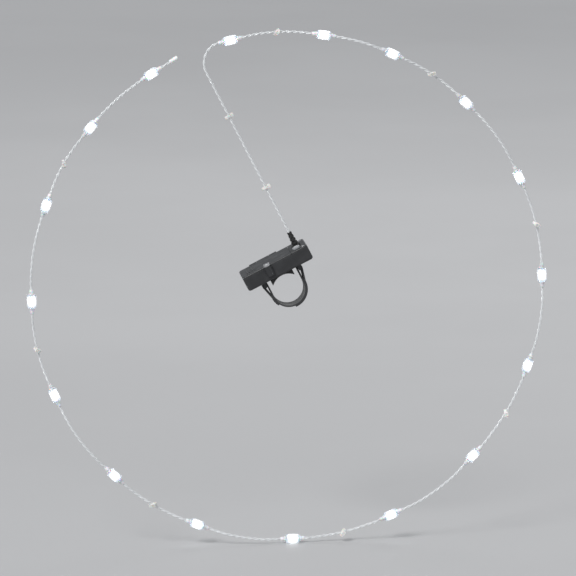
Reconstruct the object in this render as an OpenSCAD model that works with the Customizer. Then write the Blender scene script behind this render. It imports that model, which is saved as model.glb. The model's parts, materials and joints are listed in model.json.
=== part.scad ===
// Ring light: inline LED bulbs on a cable that is tied in a ring, with a battery pack that is strapped
// to a barrel at its middle. The origin is on the ring's axis, in its middle plane. +Y is that axis and
// +Z is up. Angles on the ring run clockwise from the top, seen from -Y.

/* [Ring] */
// Radius of the ring, from its axis to the bulbs' axis
ring_r = 254; // [200:1:290]
// Angle of the battery pack about the ring's axis
pack_angle = -27; // [-31:1:-24]
// Diameter of the rods that the cable is tied to
spoke_d = 2; // [1.8:0.1:2.6]

/* [Cable] */
// Outside diameter of the twisted cable
cable_d = 2.6; // [2:0.1:3.4]
// Room between the cable and a rod that it passes
lay_clear = 0.1; // [0.05:0.05:0.3]
// Length of cable past the last bulb
tail_l = 14; // [8:1:18]
// Length of the cap on the cable's end
end_cap_l = 9; // [6:0.5:12]
// Wall of the cap on the cable's end
end_cap_wall = 0.8; // [0.5:0.1:1.5]
// Rounding of the cap on the cable's end
end_cap_round = 1; // [0.3:0.1:1]
// Height of the bend where the lead turns into the ring
lead_bend = 20; // [14:1:30]

/* [Bulbs] */
// Diameter of a lens
lens_d = 9; // [8:0.5:12]
// Length of a lens
lens_l = 14; // [12:0.5:18]
// Wall of a lens
lens_wall = 1; // [0.8:0.1:1.3]
// Rounding of a lens's ends
lens_round = 2; // [1:0.1:2.2]
// Length of a cable sleeve outside the lens
sleeve_l = 5; // [3:0.5:8]
// Wall of a sleeve over the cable at its mouth
sleeve_lip = 0.4; // [0.3:0.1:0.8]
// Width of the groove round a sleeve
sleeve_groove_w = 0.8; // [0.5:0.1:1]
// Step in radius from a sleeve's collar to its cone
sleeve_step = 0.2; // [0.1:0.05:0.4]
// Diameter of a sleeve's plug in the lens
plug_d = 3; // [2:0.1:3.4]
// Length of a sleeve's plug inside the lens's end wall
plug_reach = 1.2; // [0.6:0.1:2]
// Width of an LED board
led_board_w = 4.4; // [3:0.1:5]
// Thickness of an LED board
led_board_t = 0.8; // [0.6:0.1:1.2]
// Length of an LED chip
led_l = 3.5; // [2:0.1:5]
// Width of an LED chip
led_w = 2.8; // [2:0.1:3]
// Height of an LED chip
led_h = 0.8; // [0.4:0.1:1]

/* [Ties] */
// Width of a cable tie's strap
tie_w = 2.5; // [1.8:0.1:3.6]
// Thickness of a cable tie's strap
tie_t = 1; // [0.7:0.1:1.4]
// Inner rounding of a tie's corners
tie_round = 1.2; // [0.6:0.1:1.6]
// Length of a tie's head along the strap
tie_head_l = 4.4; // [3.4:0.1:5]
// Width of a tie's head
tie_head_w = 4; // [3.7:0.1:5]
// Height of a tie's head
tie_head_h = 3; // [2:0.1:4]
// Length of a tie's trimmed tail past its head
tie_stub = 1.5; // [0.5:0.1:3]
// Room inside a tie round the cable
tie_clear = 0.05; // [0.02:0.01:0.15]
// Height of the lower lead tie above the ring's axis
lead_tie_low = 100; // [70:1:130]
// Height of the upper lead tie above the ring's axis
lead_tie_high = 180; // [140:1:190]

/* [Strap and pad] */
// Diameter of the barrel that the strap goes round
hub_d = 32; // [26:1:44]
// Width of the strap
strap_w = 20; // [12:1:25]
// Thickness of the strap
strap_t = 1.5; // [1:0.1:2]
// Room between the strap and its bars
strap_clear = 0.1; // [0.05:0.05:0.3]
// Depth to which the strap's two layers press into each other
strap_press = 0.2; // [0.1:0.05:0.4]
// Angle of the strap's fastened tail round the barrel
strap_tail_angle = 95; // [40:5:140]
// Angle of the strap's sewn end round the barrel
strap_sewn_angle = 30; // [15:5:40]
// Thickness of the rubber pad at its middle
pad_t = 2.5; // [1.5:0.1:4]
// Length of the rubber pad across the barrel
pad_l = 24; // [16:1:26]
// Diameter of the strap bars under the pack
bar_d = 3; // [2.5:0.1:4]
// Drop of the strap bars below the pack
bar_drop = 4.6; // [4.5:0.1:6]
// Thickness of the ears that hold a strap bar
ear_t = 2.5; // [2:0.1:4]

/* [Battery pack] */
// Diameter of a cell
cell_d = 10.5; // [10:0.1:14.5]
// Length of a cell with its nub
cell_l = 44.5; // [40:0.5:50.5]
// Diameter of a cell's nub
nub_d = 3.8; // [3:0.1:5.5]
// Height of a cell's nub
nub_h = 1; // [0.8:0.1:1.5]
// Gap between two cells
cell_gap = 1; // [0.6:0.1:3]
// Room between a cell and the case
cell_clear = 0.35; // [0.2:0.05:0.8]
// Width of the dividers between the cells
divider_w = 1.2; // [0.8:0.1:1.4]
// Height of the dividers between the cells
divider_h = 2.6; // [1:0.1:3]
// Walls of the case
wall = 2.4; // [2.2:0.1:3.6]
// Floor of the case
floor_t = 2; // [1.5:0.1:3]
// Thickness of the two covers
cover_t = 2.2; // [2:0.1:3]
// Rounding of the case's upright corners
corner_r = 3; // [2.5:0.5:6]
// Rounding of the case's bottom edges
edge_r = 2; // [1:0.1:2.4]
// Rounding of the covers' top edges
cover_edge_r = 1.2; // [0.6:0.1:1.8]
// Width of a grip rib on the battery cover
rib_w = 1.2; // [0.8:0.1:2]
// Length of a grip rib
rib_l = 22; // [12:1:28]
// Height of a grip rib
rib_h = 0.6; // [0.3:0.1:1]
// Distance from one grip rib to the next
rib_pitch = 2.8; // [2.2:0.1:4]
// Gap between the two covers
cover_split = 0.3; // [0.2:0.05:0.6]
// Length of the circuit board's bay
board_bay_l = 14; // [13:0.5:20]

/* [Seal, hinge and lock] */
// Width of the seal
seal_w = 1.2; // [0.8:0.1:1.4]
// Depth of the seal's groove
seal_h = 1.2; // [0.8:0.1:1.5]
// Radius of the hinge knuckles
knuckle_r = 2.4; // [2:0.1:3]
// Distance of the hinge axis from the case
hinge_off = 2.7; // [2.7:0.1:3.6]
// Length of the hinge
hinge_l = 30; // [24:1:40]
// Length of one outer knuckle
knuckle_l = 8; // [5:0.5:9]
// Gap between neighbouring knuckles
knuckle_gap = 0.3; // [0.2:0.05:0.5]
// Diameter of the hinge pin
pin_d = 1.8; // [1.4:0.1:2.2]
// Running clearance round the hinge pin
pin_clear = 0.06; // [0.03:0.01:0.1]
// Radius of the locking lugs
lug_r = 4; // [3.8:0.1:5]
// Distance of the locking screw from the case
lug_off = 2.6; // [2.4:0.1:3.4]
// Height of the case's locking lug
lug_h = 8; // [7:0.5:10]
// Diameter of the locking screw's shank
lock_d = 3; // [2.5:0.1:3.2]
// Length of the locking screw's shank below the cover
lock_l = 5; // [3:0.5:5.5]
// Diameter of the locking screw's head
lock_head_d = 6.8; // [6:0.1:7.4]
// Height of the locking screw's head
lock_head_h = 2.4; // [1.6:0.1:3]
// Bevel of the locking screw's head
lock_head_bevel = 0.5; // [0.3:0.1:0.8]
// Radius of the flutes round the locking screw's head
flute_r = 0.6; // [0.4:0.1:0.7]
// Width of the coin slot in the locking screw
coin_slot_w = 1.4; // [1:0.1:2]
// Room round the shank in the cover
lock_clear = 0.2; // [0.1:0.05:0.3]
// Room round the shank in the threaded insert
insert_clear = 0.45; // [0.4:0.05:0.6]
// Wall of the threaded insert
insert_wall = 0.7; // [0.5:0.1:0.8]

/* [Contacts] */
// Thickness of a contact plate
plate_t = 0.4; // [0.3:0.1:0.6]
// Width of a contact plate at one cell
plate_w = 9; // [8:0.5:10]
// Height of a contact plate above the floor
plate_lift = 2; // [1.9:0.1:3]
// Height of the bump that meets a nub
bump_h = 0.5; // [0.3:0.1:0.8]
// Diameter of the bump that meets a nub
bump_d = 4; // [3:0.1:5]
// Length of a contact spring, pressed
spring_l = 4.4; // [4.2:0.1:7]
// Wire of a contact spring
spring_wire = 0.6; // [0.4:0.05:0.65]
// Radius of a contact spring at its plate
spring_r_base = 3.2; // [3:0.1:3.8]
// Radius of a contact spring at its cell
spring_r_tip = 2; // [1.5:0.1:2.4]
// Turns of a contact spring
spring_turns = 3; // [2:0.5:3]
// Diameter of the return wire
return_d = 1.2; // [0.8:0.1:1.3]
// Width of the tab that reaches the circuit board
tab_w = 3; // [2:0.1:4]
// Length of that tab on the circuit board
tab_l = 2.5; // [1.5:0.1:3]

/* [Circuit and button] */
// Height of the circuit board above the floor
board_lift = 3; // [2.5:0.1:4]
// Thickness of the circuit board
board_t = 1.2; // [0.8:0.1:1.6]
// Room round the circuit board
board_clear = 0.4; // [0.2:0.05:0.8]
// Diameter of the circuit board's posts
post_d = 3; // [2.5:0.1:4]
// Distance of the button from the pack's middle
button_y = 10.5; // [9:0.5:11]
// Distance of the button from the middle of its bay, away from the screws
button_shift = 1; // [0.8:0.1:1.2]
// Diameter of the button
button_d = 8; // [6:0.1:9]
// Height of the button above its cover
button_h = 1.8; // [1.2:0.1:3]
// Room round the button
button_clear = 0.3; // [0.25:0.05:0.5]
// Travel of the button
button_travel = 0.8; // [0.4:0.1:0.9]
// Thickness of the button's flange
button_flange_t = 1; // [0.6:0.1:1.4]
// Width of the button's flange
button_flange_w = 1; // [0.8:0.1:1.1]
// Diameter of the button's stem
button_stem_d = 3.6; // [3:0.1:5]
// Side of the switch
switch_w = 6; // [5:0.1:7]
// Height of the switch
switch_h = 3.4; // [3:0.1:4]
// Diameter of the switch's plunger
plunger_d = 3.2; // [2.4:0.1:3.6]
// Depth of the plunger in its switch when the button is down
plunger_rest = 0.4; // [0.3:0.1:0.6]
// Length of the control chip
chip_l = 5; // [4:0.1:6]
// Width of the control chip
chip_w = 4; // [3:0.1:4.4]
// Height of the control chip
chip_h = 1.5; // [1:0.1:1.8]
// Distance of the control chip from the pack's middle
chip_y = 6.5; // [5.5:0.1:7]
// Length of a resistor
resistor_l = 2; // [1.6:0.1:2.4]
// Width of a resistor
resistor_w = 1.25; // [0.8:0.05:1.6]
// Height of a resistor
resistor_h = 0.5; // [0.4:0.05:0.8]
// Diameter of the board cover's screws
cover_screw_d = 2; // [1.6:0.1:2.2]
// Diameter of the board cover's screw heads
cover_screw_head_d = 4; // [3.4:0.1:4.4]
// Height of the board cover's screw heads
cover_screw_head_h = 1.2; // [0.8:0.1:1.4]
// Length of the cross in a screw head
cross_l = 2.4; // [1.8:0.1:3]
// Width of the cross in a screw head
cross_w = 0.7; // [0.5:0.05:1]
// Length of the board cover's screws below their heads
cover_screw_l = 7; // [5:0.5:9]
// Depth of a screw hole past the tip of its screw
screw_room = 1; // [0.5:0.1:2]
// Diameter of the board cover's screw posts
screw_post_d = 4.4; // [4:0.1:4.8]
// Depth to which the screw posts merge with the walls
post_sink = 0.3; // [0.2:0.05:0.5]
// Room round screws and other fixed fits
fit_clear = 0.05; // [0.02:0.01:0.1]

/* [Cable gland] */
// Diameter of the gland's neck in the cover
gland_neck_d = 6.4; // [5:0.1:7]
// Diameter of the gland's flanges
gland_flange_d = 9.2; // [8:0.1:10]
// Thickness of the gland's flanges
gland_flange_t = 1.5; // [1:0.1:2]
// Length of the gland's boot
gland_boot_l = 14; // [8:0.5:20]
// Depth of the boot's grooves below its tip
gland_groove = 0.2; // [0.1:0.05:0.3]
// Wall of the boot at its tip
gland_tip_wall = 0.9; // [0.6:0.1:1.4]

/* [Hidden] */
$fn = 48;

// Angles of the bulbs on the ring, in the order of the cable
bulb_angles = [-13, 8, 24, 44, 65, 88, 109, 133, 156, 179, 201, 223, 246, 268, 290, 310, 328];
// One tie on every second span of the cable, at its middle
tie_step = 2;
tie_share = 0.5;
// Shares of a span at which the cable's tube has a ring of points
span_shares = [0, 0.25, 0.5, 0.75, 1];
span_handle = 1 / 3;
lead_ease = 0.6;
cable_sides = 8;
bend_steps = 6;
rib_count = 4;
boot_rings = 4;
head_flutes = 12;
sleeve_groove_at = 0.3;
// Overshoot of a cut past the face that it opens
over = 1;
// Least rounding of the bay's upright corners
least_r = 0.3;

cable_r = cable_d / 2;
spoke_r = spoke_d / 2;
weave = spoke_r + cable_r + lay_clear;
bulb_reach = lens_l / 2 + sleeve_l;
last_bulb = len(bulb_angles) - 1;
led_board_l = lens_l - 2 * (lens_wall + plug_reach);

// Inside of a tie on the ring, which crosses the cable and its rod at half a right angle
tie_half = tie_w / 2 + max(cable_r, spoke_r) * sqrt(2) + tie_clear;
tie_low = -spoke_r - tie_clear;
tie_high = weave + cable_r + tie_clear;

// Case of the battery pack, in the pack's own frame: X along the cells, Y the ring's axis, Z away from it
pitch = cell_d + cell_gap;
bay_w = 3 * cell_d + 2 * cell_gap + 4 * cell_clear;
bay_l = cell_l + spring_l + bump_h + 2 * plate_t;
case_w = bay_w + 2 * wall;
case_l = bay_l + board_bay_l + 3 * wall;
case_x = -case_l / 2;
bay_x = case_x + wall;
bay_end = bay_x + bay_l;
board_x = bay_end + wall;
board_end = board_x + board_bay_l;
board_mid = (board_x + board_end) / 2;
case_z = hub_d / 2 + pad_t;
floor_z = case_z + floor_t;
rim_z = floor_z + cell_d + 2 * cell_clear;
top_z = rim_z + cover_t;
cell_z = floor_z + cell_clear + cell_d / 2;
split_x = bay_end + wall / 2;
cover_mid = (case_x + split_x) / 2;
// The seal and the bay follow the case's upright corners, and the bay leaves room for the contacts
seal_r = corner_r - (wall - seal_w) / 2;
bay_r = max(least_r, min(corner_r - wall, bay_w / 2 - pitch - plate_w / 2));

// Hinge and lock
hinge_y = case_w / 2 + hinge_off;
pin_bore_r = pin_d / 2 + pin_clear;
lock_y = -case_w / 2 - lug_off;
insert_bore_r = lock_d / 2 + insert_clear;
insert_r = insert_bore_r + insert_wall;

// Strap bars and strap
bar_r = bar_d / 2;
wrap_r = bar_r + strap_clear;
bar_x = hub_d / 2 + strap_t + wrap_r;
bar_z = case_z - bar_drop;

// Circuit board, switch and button
board_z = floor_z + board_lift;
board_top = board_z + board_t;
switch_top = board_top + switch_h;
flange_z = rim_z - button_flange_t;
stem_z = switch_top + button_travel + fit_clear;
plunger_seat = button_travel + plunger_rest;
screw_x = board_end - screw_post_d / 2 + post_sink;
screw_y = bay_w / 2 - screw_post_d / 2 + post_sink;
screw_hole_h = cover_screw_head_h + cover_screw_l + screw_room;
post_y = bay_w / 2 - post_d;
button_x = board_mid - button_shift;
resistor_x = board_bay_l / 2 - board_clear - resistor_w;
return_y = -bay_w / 2 + return_d / 2 + cell_clear;
return_z = floor_z + return_d / 2 + cell_clear;
return_start = bay_x + max(plate_t, bay_r);
return_x = board_x + post_d + return_d;

// The lead, in the pack's frame
lead_x = board_mid;
lead_end_angle = bulb_angles[0] - pack_angle;

// Points on the ring, as [x, y, z], and the clockwise direction there
function on_circle(a, r) = [r * sin(a), 0, r * cos(a)];
function clockwise(a) = [cos(a), 0, -sin(a)];
function mouth(a, side) = on_circle(a, ring_r) + side * bulb_reach * clockwise(a);

function bezier(p, f) = pow(1 - f, 3) * p[0] + 3 * f * pow(1 - f, 2) * p[1]
    + 3 * f * f * (1 - f) * p[2] + pow(f, 3) * p[3];
function bezier_way(p, f) = pow(1 - f, 2) * (p[1] - p[0]) + 2 * f * (1 - f) * (p[2] - p[1])
    + f * f * (p[3] - p[2]);

// A station of a tube is its centre and two unit directions across it
function station(centre, way) = let (t = way / norm(way)) [centre, [-t[2], 0, t[0]], [0, 1, 0]];

function span_curve(i) = let (
    from = mouth(bulb_angles[i], 1),
    to = mouth(bulb_angles[i + 1], -1),
    reach = norm(to - from) * span_handle
) [from, from + reach * clockwise(bulb_angles[i]), to - reach * clockwise(bulb_angles[i + 1]), to];
function span_side(i) = i % 2 == 0 ? 1 : -1;
function span_lift(f) = f > 0 && f < 1 ? weave : 0;
function span_stations(i) = [for (f = span_shares)
    station(bezier(span_curve(i), f) + [0, span_side(i) * span_lift(f), 0], bezier_way(span_curve(i), f))];

lead_to = mouth(lead_end_angle, -1);
lead_from = [lead_x, 0, lead_to[2] - lead_bend];
lead_handle = lead_bend * lead_ease;
lead_curve = [lead_from, lead_from + [0, 0, lead_handle],
    lead_to - lead_handle * clockwise(lead_end_angle), lead_to];
lead_stations = concat(
    [station([lead_x, 0, board_top], [0, 0, 1])],
    [for (k = [0:bend_steps]) let (f = k / bend_steps)
        station(bezier(lead_curve, f), bezier_way(lead_curve, f))]
);

// A contact spring, wound about X from its plate to its cell
spring_sides = 6;
spring_steps = ceil(spring_turns * 8);
spring_run = spring_l - spring_wire - 2 * fit_clear;
function spring_station(k) = let (
    f = k / spring_steps,
    a = 360 * spring_turns * f,
    r = spring_r_base + (spring_r_tip - spring_r_base) * f,
    out = [0, cos(a), sin(a)]
) [[spring_wire / 2 + fit_clear + spring_run * f, 0, 0] + r * out, out, [1, 0, 0]];
spring_stations = [for (k = [0:spring_steps]) spring_station(k)];
spring_least = min([for (i = [0:spring_steps - 6], j = [i + 6:spring_steps])
    norm(spring_stations[i][0] - spring_stations[j][0])]) - spring_wire;
echo(contact_spring_least_gap = spring_least);

// Shared shapes

module tube(stations, r, sides) {
    last = len(stations) - 1;
    points = [for (s = stations, k = [0:sides - 1])
        s[0] + r * (cos(360 * k / sides) * s[1] + sin(360 * k / sides) * s[2])];
    walls = [for (i = [0:last - 1], k = [0:sides - 1])
        let (a = i * sides + k, b = i * sides + (k + 1) % sides)
        each [[a, b, b + sides], [a, b + sides, a + sides]]];
    caps = [[for (k = [sides - 1:-1:0]) k], [for (k = [0:sides - 1]) last * sides + k]];
    polyhedron(points, concat(walls, caps));
}

module rounded(l, w, r) {
    square([l - 2 * r, w], center = true);
    square([l, w - 2 * r], center = true);
    for (x = [-1, 1], y = [-1, 1])
        translate([x * (l / 2 - r), y * (w / 2 - r)]) circle(r);
}

module on_pack() rotate([0, pack_angle, 0]) children();
module at_bulb(a) rotate([0, a, 0]) translate([0, 0, ring_r]) children();
module each_bulb() for (a = bulb_angles) at_bulb(a) children();
module turned_on_x() rotate([0, 90, 0]) rotate_extrude() children();

// Half of a section through the case, rounded by e at its lower outer edge
module edge_section(reach, h, e) {
    translate([0, e]) square([reach, h - e]);
    square([reach - e, h]);
    translate([reach - e, e]) intersection() {
        circle(e);
        translate([0, -e]) square(e);
    }
}

// Ridges between the cells, clear of the contacts at both ends
module cell_dividers(z, h) for (side = [-1, 1])
    translate([bay_x + plate_t + spring_l, side * pitch / 2 - divider_w / 2, z])
        cube([bay_l - 2 * (plate_t + spring_l), divider_w, h]);

// A block of the case's outline that stands on z = 0 with its lower edges rounded by e
module case_block(h, e) {
    inner_l = case_l - 2 * corner_r;
    inner_w = case_w - 2 * corner_r;
    rotate([90, 0, 90]) linear_extrude(inner_l, center = true) {
        edge_section(case_w / 2, h, e);
        mirror([1, 0]) edge_section(case_w / 2, h, e);
    }
    for (side = [0, 1]) mirror([side, 0, 0]) {
        translate([inner_l / 2, 0, 0]) rotate([90, 0, 0]) linear_extrude(inner_w, center = true)
            edge_section(corner_r, h, e);
        for (turn = [0, 1]) mirror([0, turn, 0])
            translate([inner_l / 2, inner_w / 2, 0]) rotate_extrude(angle = 90) edge_section(corner_r, h, e);
    }
}

module cover_block() translate([0, 0, top_z]) mirror([0, 0, 1]) case_block(cover_t, cover_edge_r);
module in_hinge(x, l, r) translate([x, hinge_y, rim_z]) rotate([0, 90, 0]) cylinder(r = r, h = l);
module cell_axis(row, x) translate([x, row * pitch, cell_z]) rotate([0, 90, 0]) children();

// String of bulbs

module string_cable() color("gainsboro") {
    for (i = [0:last_bulb - 1]) tube(span_stations(i), cable_r, cable_sides);
    from = mouth(bulb_angles[last_bulb], 1);
    way = clockwise(bulb_angles[last_bulb]);
    tube([station(from, way), station(from + tail_l * way, way)], cable_r, cable_sides);
}

module lead_cable() color("gainsboro") on_pack() tube(lead_stations, cable_r, cable_sides);

module lens_outline() {
    r = lens_d / 2;
    translate([0, -lens_l / 2]) square([r - lens_round, lens_l]);
    translate([0, -lens_l / 2 + lens_round]) square([r, lens_l - 2 * lens_round]);
    for (y = [-1, 1]) translate([r - lens_round, y * (lens_l / 2 - lens_round)]) circle(lens_round);
}

module bulb_lenses() color("white", 0.5) each_bulb() turned_on_x() difference() {
    lens_outline();
    square([lens_d - 2 * lens_wall, lens_l - 2 * lens_wall], center = true);
    square([plug_d + 2 * fit_clear, lens_l + over], center = true);
}

module sleeve() {
    wide = lens_d / 2 - lens_round;
    thin = cable_r + sleeve_lip;
    groove = lens_l / 2 + sleeve_l * sleeve_groove_at;
    turned_on_x() polygon([
        [0, led_board_l / 2], [plug_d / 2, led_board_l / 2], [plug_d / 2, lens_l / 2],
        [wide, lens_l / 2], [wide, groove], [thin, groove], [thin, groove + sleeve_groove_w],
        [wide - sleeve_step, groove + sleeve_groove_w], [thin, bulb_reach], [0, bulb_reach]
    ]);
}

module cable_sleeves() color("whitesmoke") each_bulb() {
    sleeve();
    mirror([1, 0, 0]) sleeve();
}

module led_boards() color("white") each_bulb()
    cube([led_board_l, led_board_t, led_board_w], center = true);

module led_chips() color("lightyellow") each_bulb() for (side = [-1, 1])
    translate([0, side * (led_board_t + led_h) / 2, 0]) cube([led_l, led_h, led_w], center = true);

module string_end_cap() color("whitesmoke") at_bulb(bulb_angles[last_bulb])
    translate([bulb_reach + tail_l - end_cap_l / 2, 0, 0]) turned_on_x() {
        r = cable_r + end_cap_wall;
        soft = min(end_cap_round, r / 2);
        difference() {
            square([r, end_cap_l - soft]);
            square([cable_r + fit_clear, end_cap_l / 2]);
        }
        translate([0, end_cap_l / 2]) square([r - soft, end_cap_l / 2]);
        translate([r - soft, end_cap_l - soft]) circle(soft);
    }

// Ties

module ring_tie(side) {
    mid = (tie_low + tie_high) / 2;
    inner_h = tie_high - tie_low;
    head_y = tie_low - tie_t - tie_head_h / 2 + tie_t / 2;
    rotate([0, -45, 0]) mirror([0, side < 0 ? 1 : 0, 0]) {
        linear_extrude(tie_w, center = true) {
            translate([0, mid]) difference() {
                rounded(2 * (tie_half + tie_t), inner_h + 2 * tie_t, tie_round + tie_t);
                rounded(2 * tie_half, inner_h, tie_round);
            }
            translate([0, head_y - tie_t / 2]) square([tie_head_l / 2 + tie_stub, tie_t]);
        }
        translate([0, head_y, 0]) cube([tie_head_l, tie_head_h, tie_head_w], center = true);
    }
}

module spoke_ties() color("white") for (i = [0:tie_step:last_bulb - 1]) {
    curve = span_curve(i);
    way = bezier_way(curve, tie_share);
    translate(bezier(curve, tie_share)) rotate([0, atan2(-way[2], way[0]), 0]) ring_tie(span_side(i));
}

module lead_tie_outline(grow) {
    spoke_side = spoke_r + grow;
    cable_side = cable_r + tie_clear + grow;
    translate([-weave, 0]) circle(spoke_side);
    circle(cable_side);
    polygon([[-weave, -spoke_side], [0, -cable_side], [0, cable_side], [-weave, spoke_side]]);
}

module lead_tie() {
    head_x = cable_r + tie_clear + (tie_t + tie_head_h) / 2;
    linear_extrude(tie_w, center = true) difference() {
        union() {
            lead_tie_outline(tie_t);
            translate([head_x - tie_t / 2, 0]) square([tie_t, tie_head_l / 2 + tie_stub]);
        }
        lead_tie_outline(0);
    }
    translate([head_x, 0, 0]) cube([tie_head_h, tie_head_l, tie_head_w], center = true);
}

module lead_ties() color("white") on_pack() for (z = [lead_tie_low, lead_tie_high])
    translate([lead_x, 0, z]) lead_tie();

// Case of the battery pack

module seal_ring(h) translate([(bay_x + bay_end) / 2, 0, rim_z - h]) linear_extrude(h) difference() {
    rounded(bay_l + wall + seal_w, bay_w + wall + seal_w, seal_r);
    rounded(bay_l + wall - seal_w, bay_w + wall - seal_w, seal_r - seal_w);
}

module hinge_knuckle(x, l, web_z, web_h) difference() {
    union() {
        in_hinge(x, l, knuckle_r);
        translate([x, case_w / 2 - wall / 2, web_z]) cube([l, hinge_off + wall / 2, web_h]);
    }
    in_hinge(x - over, l + 2 * over, pin_bore_r);
}

module lock_lug(z, h) translate([cover_mid, 0, z]) {
    translate([0, lock_y, 0]) cylinder(r = lug_r, h = h);
    translate([-lug_r, lock_y, 0]) cube([2 * lug_r, -case_w / 2 + wall / 2 - lock_y, h]);
}

module strap_bars() for (side = [-1, 1]) {
    translate([side * bar_x, 0, bar_z]) rotate([90, 0, 0])
        cylinder(r = bar_r, h = strap_w + 2 * (ear_t + strap_clear), center = true);
    for (y = [-1, 1])
        translate([side * bar_x - bar_r, y * (strap_w / 2 + strap_clear + ear_t / 2) - ear_t / 2, bar_z])
            cube([bar_d, ear_t, bar_drop + floor_t / 2]);
}

module pack_base() color("dimgray") on_pack() {
    difference() {
        union() {
            translate([0, 0, case_z]) case_block(rim_z - case_z, edge_r);
            lock_lug(rim_z - lug_h, lug_h);
            for (x = [-hinge_l / 2, hinge_l / 2 - knuckle_l])
                hinge_knuckle(cover_mid + x, knuckle_l, rim_z - 2 * knuckle_r, 2 * knuckle_r);
        }
        translate([(bay_x + bay_end) / 2, 0, floor_z]) linear_extrude(rim_z) rounded(bay_l, bay_w, bay_r);
        translate([board_x, -bay_w / 2, floor_z]) cube([board_bay_l, bay_w, rim_z]);
        seal_ring(seal_h);
        translate([cover_mid, lock_y, rim_z - lug_h - over])
            cylinder(r = insert_r + fit_clear, h = lug_h + 2 * over);
        translate([bay_end - bay_r - over, return_y, return_z]) rotate([0, 90, 0])
            cylinder(r = return_d / 2 + fit_clear, h = bay_r + wall + 2 * over);
        translate([bay_end - over, pitch - tab_w / 2 - fit_clear, board_top - fit_clear])
            cube([wall + 2 * over, tab_w + 2 * fit_clear, plate_t + 2 * fit_clear]);
    }
    for (y = [-1, 1]) {
        translate([board_x + post_d, y * post_y, floor_z - floor_t / 2])
            cylinder(d = post_d, h = board_lift + floor_t / 2);
        difference() {
            translate([screw_x, y * screw_y, floor_z - floor_t / 2])
                cylinder(d = screw_post_d, h = rim_z - floor_z + floor_t / 2);
            translate([screw_x, y * screw_y, top_z - screw_hole_h])
                cylinder(r = cover_screw_d / 2 + fit_clear, h = screw_hole_h);
        }
    }
    cell_dividers(floor_z - floor_t / 2, divider_h + floor_t / 2);
    strap_bars();
}

module pack_cover() color("dimgray") on_pack() difference() {
    union() {
        intersection() {
            cover_block();
            translate([case_x, -case_w / 2, rim_z])
                cube([split_x - cover_split / 2 - case_x, case_w, cover_t]);
        }
        for (k = [1:rib_count]) translate([case_x + corner_r + k * rib_pitch, -rib_l / 2, top_z - rib_h])
            cube([rib_w, rib_l, 2 * rib_h]);
        cell_dividers(rim_z - divider_h, divider_h + cover_t / 2);
        lock_lug(rim_z, cover_t);
        hinge_knuckle(cover_mid - hinge_l / 2 + knuckle_l + knuckle_gap,
            hinge_l - 2 * (knuckle_l + knuckle_gap), rim_z, cover_t);
    }
    translate([cover_mid, lock_y, rim_z - over])
        cylinder(r = lock_d / 2 + lock_clear, h = cover_t + 2 * over);
}

module cover_seal() color("black") on_pack() seal_ring(seal_h);

module hinge_pin() color("silver") on_pack() in_hinge(cover_mid - hinge_l / 2, hinge_l, pin_d / 2);

module cover_screw() color("silver") on_pack() translate([cover_mid, lock_y, 0]) difference() {
    union() {
        translate([0, 0, rim_z - lock_l]) cylinder(d = lock_d, h = lock_l + cover_t + lock_head_h / 4);
        translate([0, 0, top_z]) cylinder(d = lock_head_d, h = lock_head_h - lock_head_bevel);
        translate([0, 0, top_z + lock_head_h - lock_head_bevel])
            cylinder(d1 = lock_head_d, d2 = lock_head_d - 2 * lock_head_bevel, h = lock_head_bevel);
    }
    translate([0, 0, top_z + lock_head_h])
        cube([lock_head_d + over, coin_slot_w, lock_head_h], center = true);
    for (k = [0:head_flutes - 1]) rotate((k + 0.5) * 360 / head_flutes)
        translate([lock_head_d / 2 + flute_r / 2, 0, top_z - over])
            cylinder(r = flute_r, h = lock_head_h + 2 * over);
}

module screw_insert() color("goldenrod") on_pack() translate([cover_mid, lock_y, rim_z - lug_h])
    difference() {
        cylinder(r = insert_r, h = lug_h);
        translate([0, 0, -over]) cylinder(r = insert_bore_r, h = lug_h + 2 * over);
    }

module board_cover() color("dimgray") on_pack() difference() {
    intersection() {
        cover_block();
        translate([split_x + cover_split / 2, -case_w / 2, rim_z]) cube([case_l, case_w, cover_t]);
    }
    translate([button_x, -button_y, rim_z - over])
        cylinder(r = button_d / 2 + button_clear, h = cover_t + 2 * over);
    translate([lead_x, 0, rim_z - over]) cylinder(r = gland_neck_d / 2 + fit_clear, h = cover_t + 2 * over);
    for (y = [-1, 1]) translate([screw_x, y * screw_y, 0]) {
        translate([0, 0, rim_z - over]) cylinder(r = cover_screw_d / 2 + fit_clear, h = cover_t + 2 * over);
        translate([0, 0, top_z - cover_screw_head_h])
            cylinder(r = cover_screw_head_d / 2 + fit_clear, h = cover_t);
    }
}

module board_cover_screws() color("silver") on_pack() for (y = [-1, 1]) translate([screw_x, y * screw_y, 0])
    difference() {
        union() {
            translate([0, 0, top_z - cover_screw_head_h])
                cylinder(d = cover_screw_head_d, h = cover_screw_head_h);
            translate([0, 0, top_z - cover_screw_head_h - cover_screw_l])
                cylinder(d = cover_screw_d, h = cover_screw_l + cover_screw_head_h / 2);
        }
        for (turn = [0, 90]) translate([0, 0, top_z]) rotate(turn)
            cube([cross_l, cross_w, cover_screw_head_h], center = true);
    }

// Cells and contacts

module cell(row, x, flip) cell_axis(row, flip ? x + cell_l : x) mirror([0, 0, flip ? 1 : 0]) {
    cylinder(d = cell_d, h = cell_l - nub_h);
    cylinder(d = nub_d, h = cell_l);
}

module cell_front() color("darkslategray") on_pack() cell(-1, bay_x + plate_t + spring_l, false);
module cell_middle() color("darkslategray") on_pack() cell(0, bay_x + plate_t + bump_h, true);
module cell_rear() color("darkslategray") on_pack() cell(1, bay_x + plate_t + spring_l, false);

module plate(x, first_row, last_row) translate([x, first_row * pitch - plate_w / 2, floor_z + plate_lift])
    cube([plate_t, (last_row - first_row) * pitch + plate_w, cell_d - plate_lift]);

module bump(row, x) cell_axis(row, x) cylinder(d = bump_d, h = bump_h);

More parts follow.
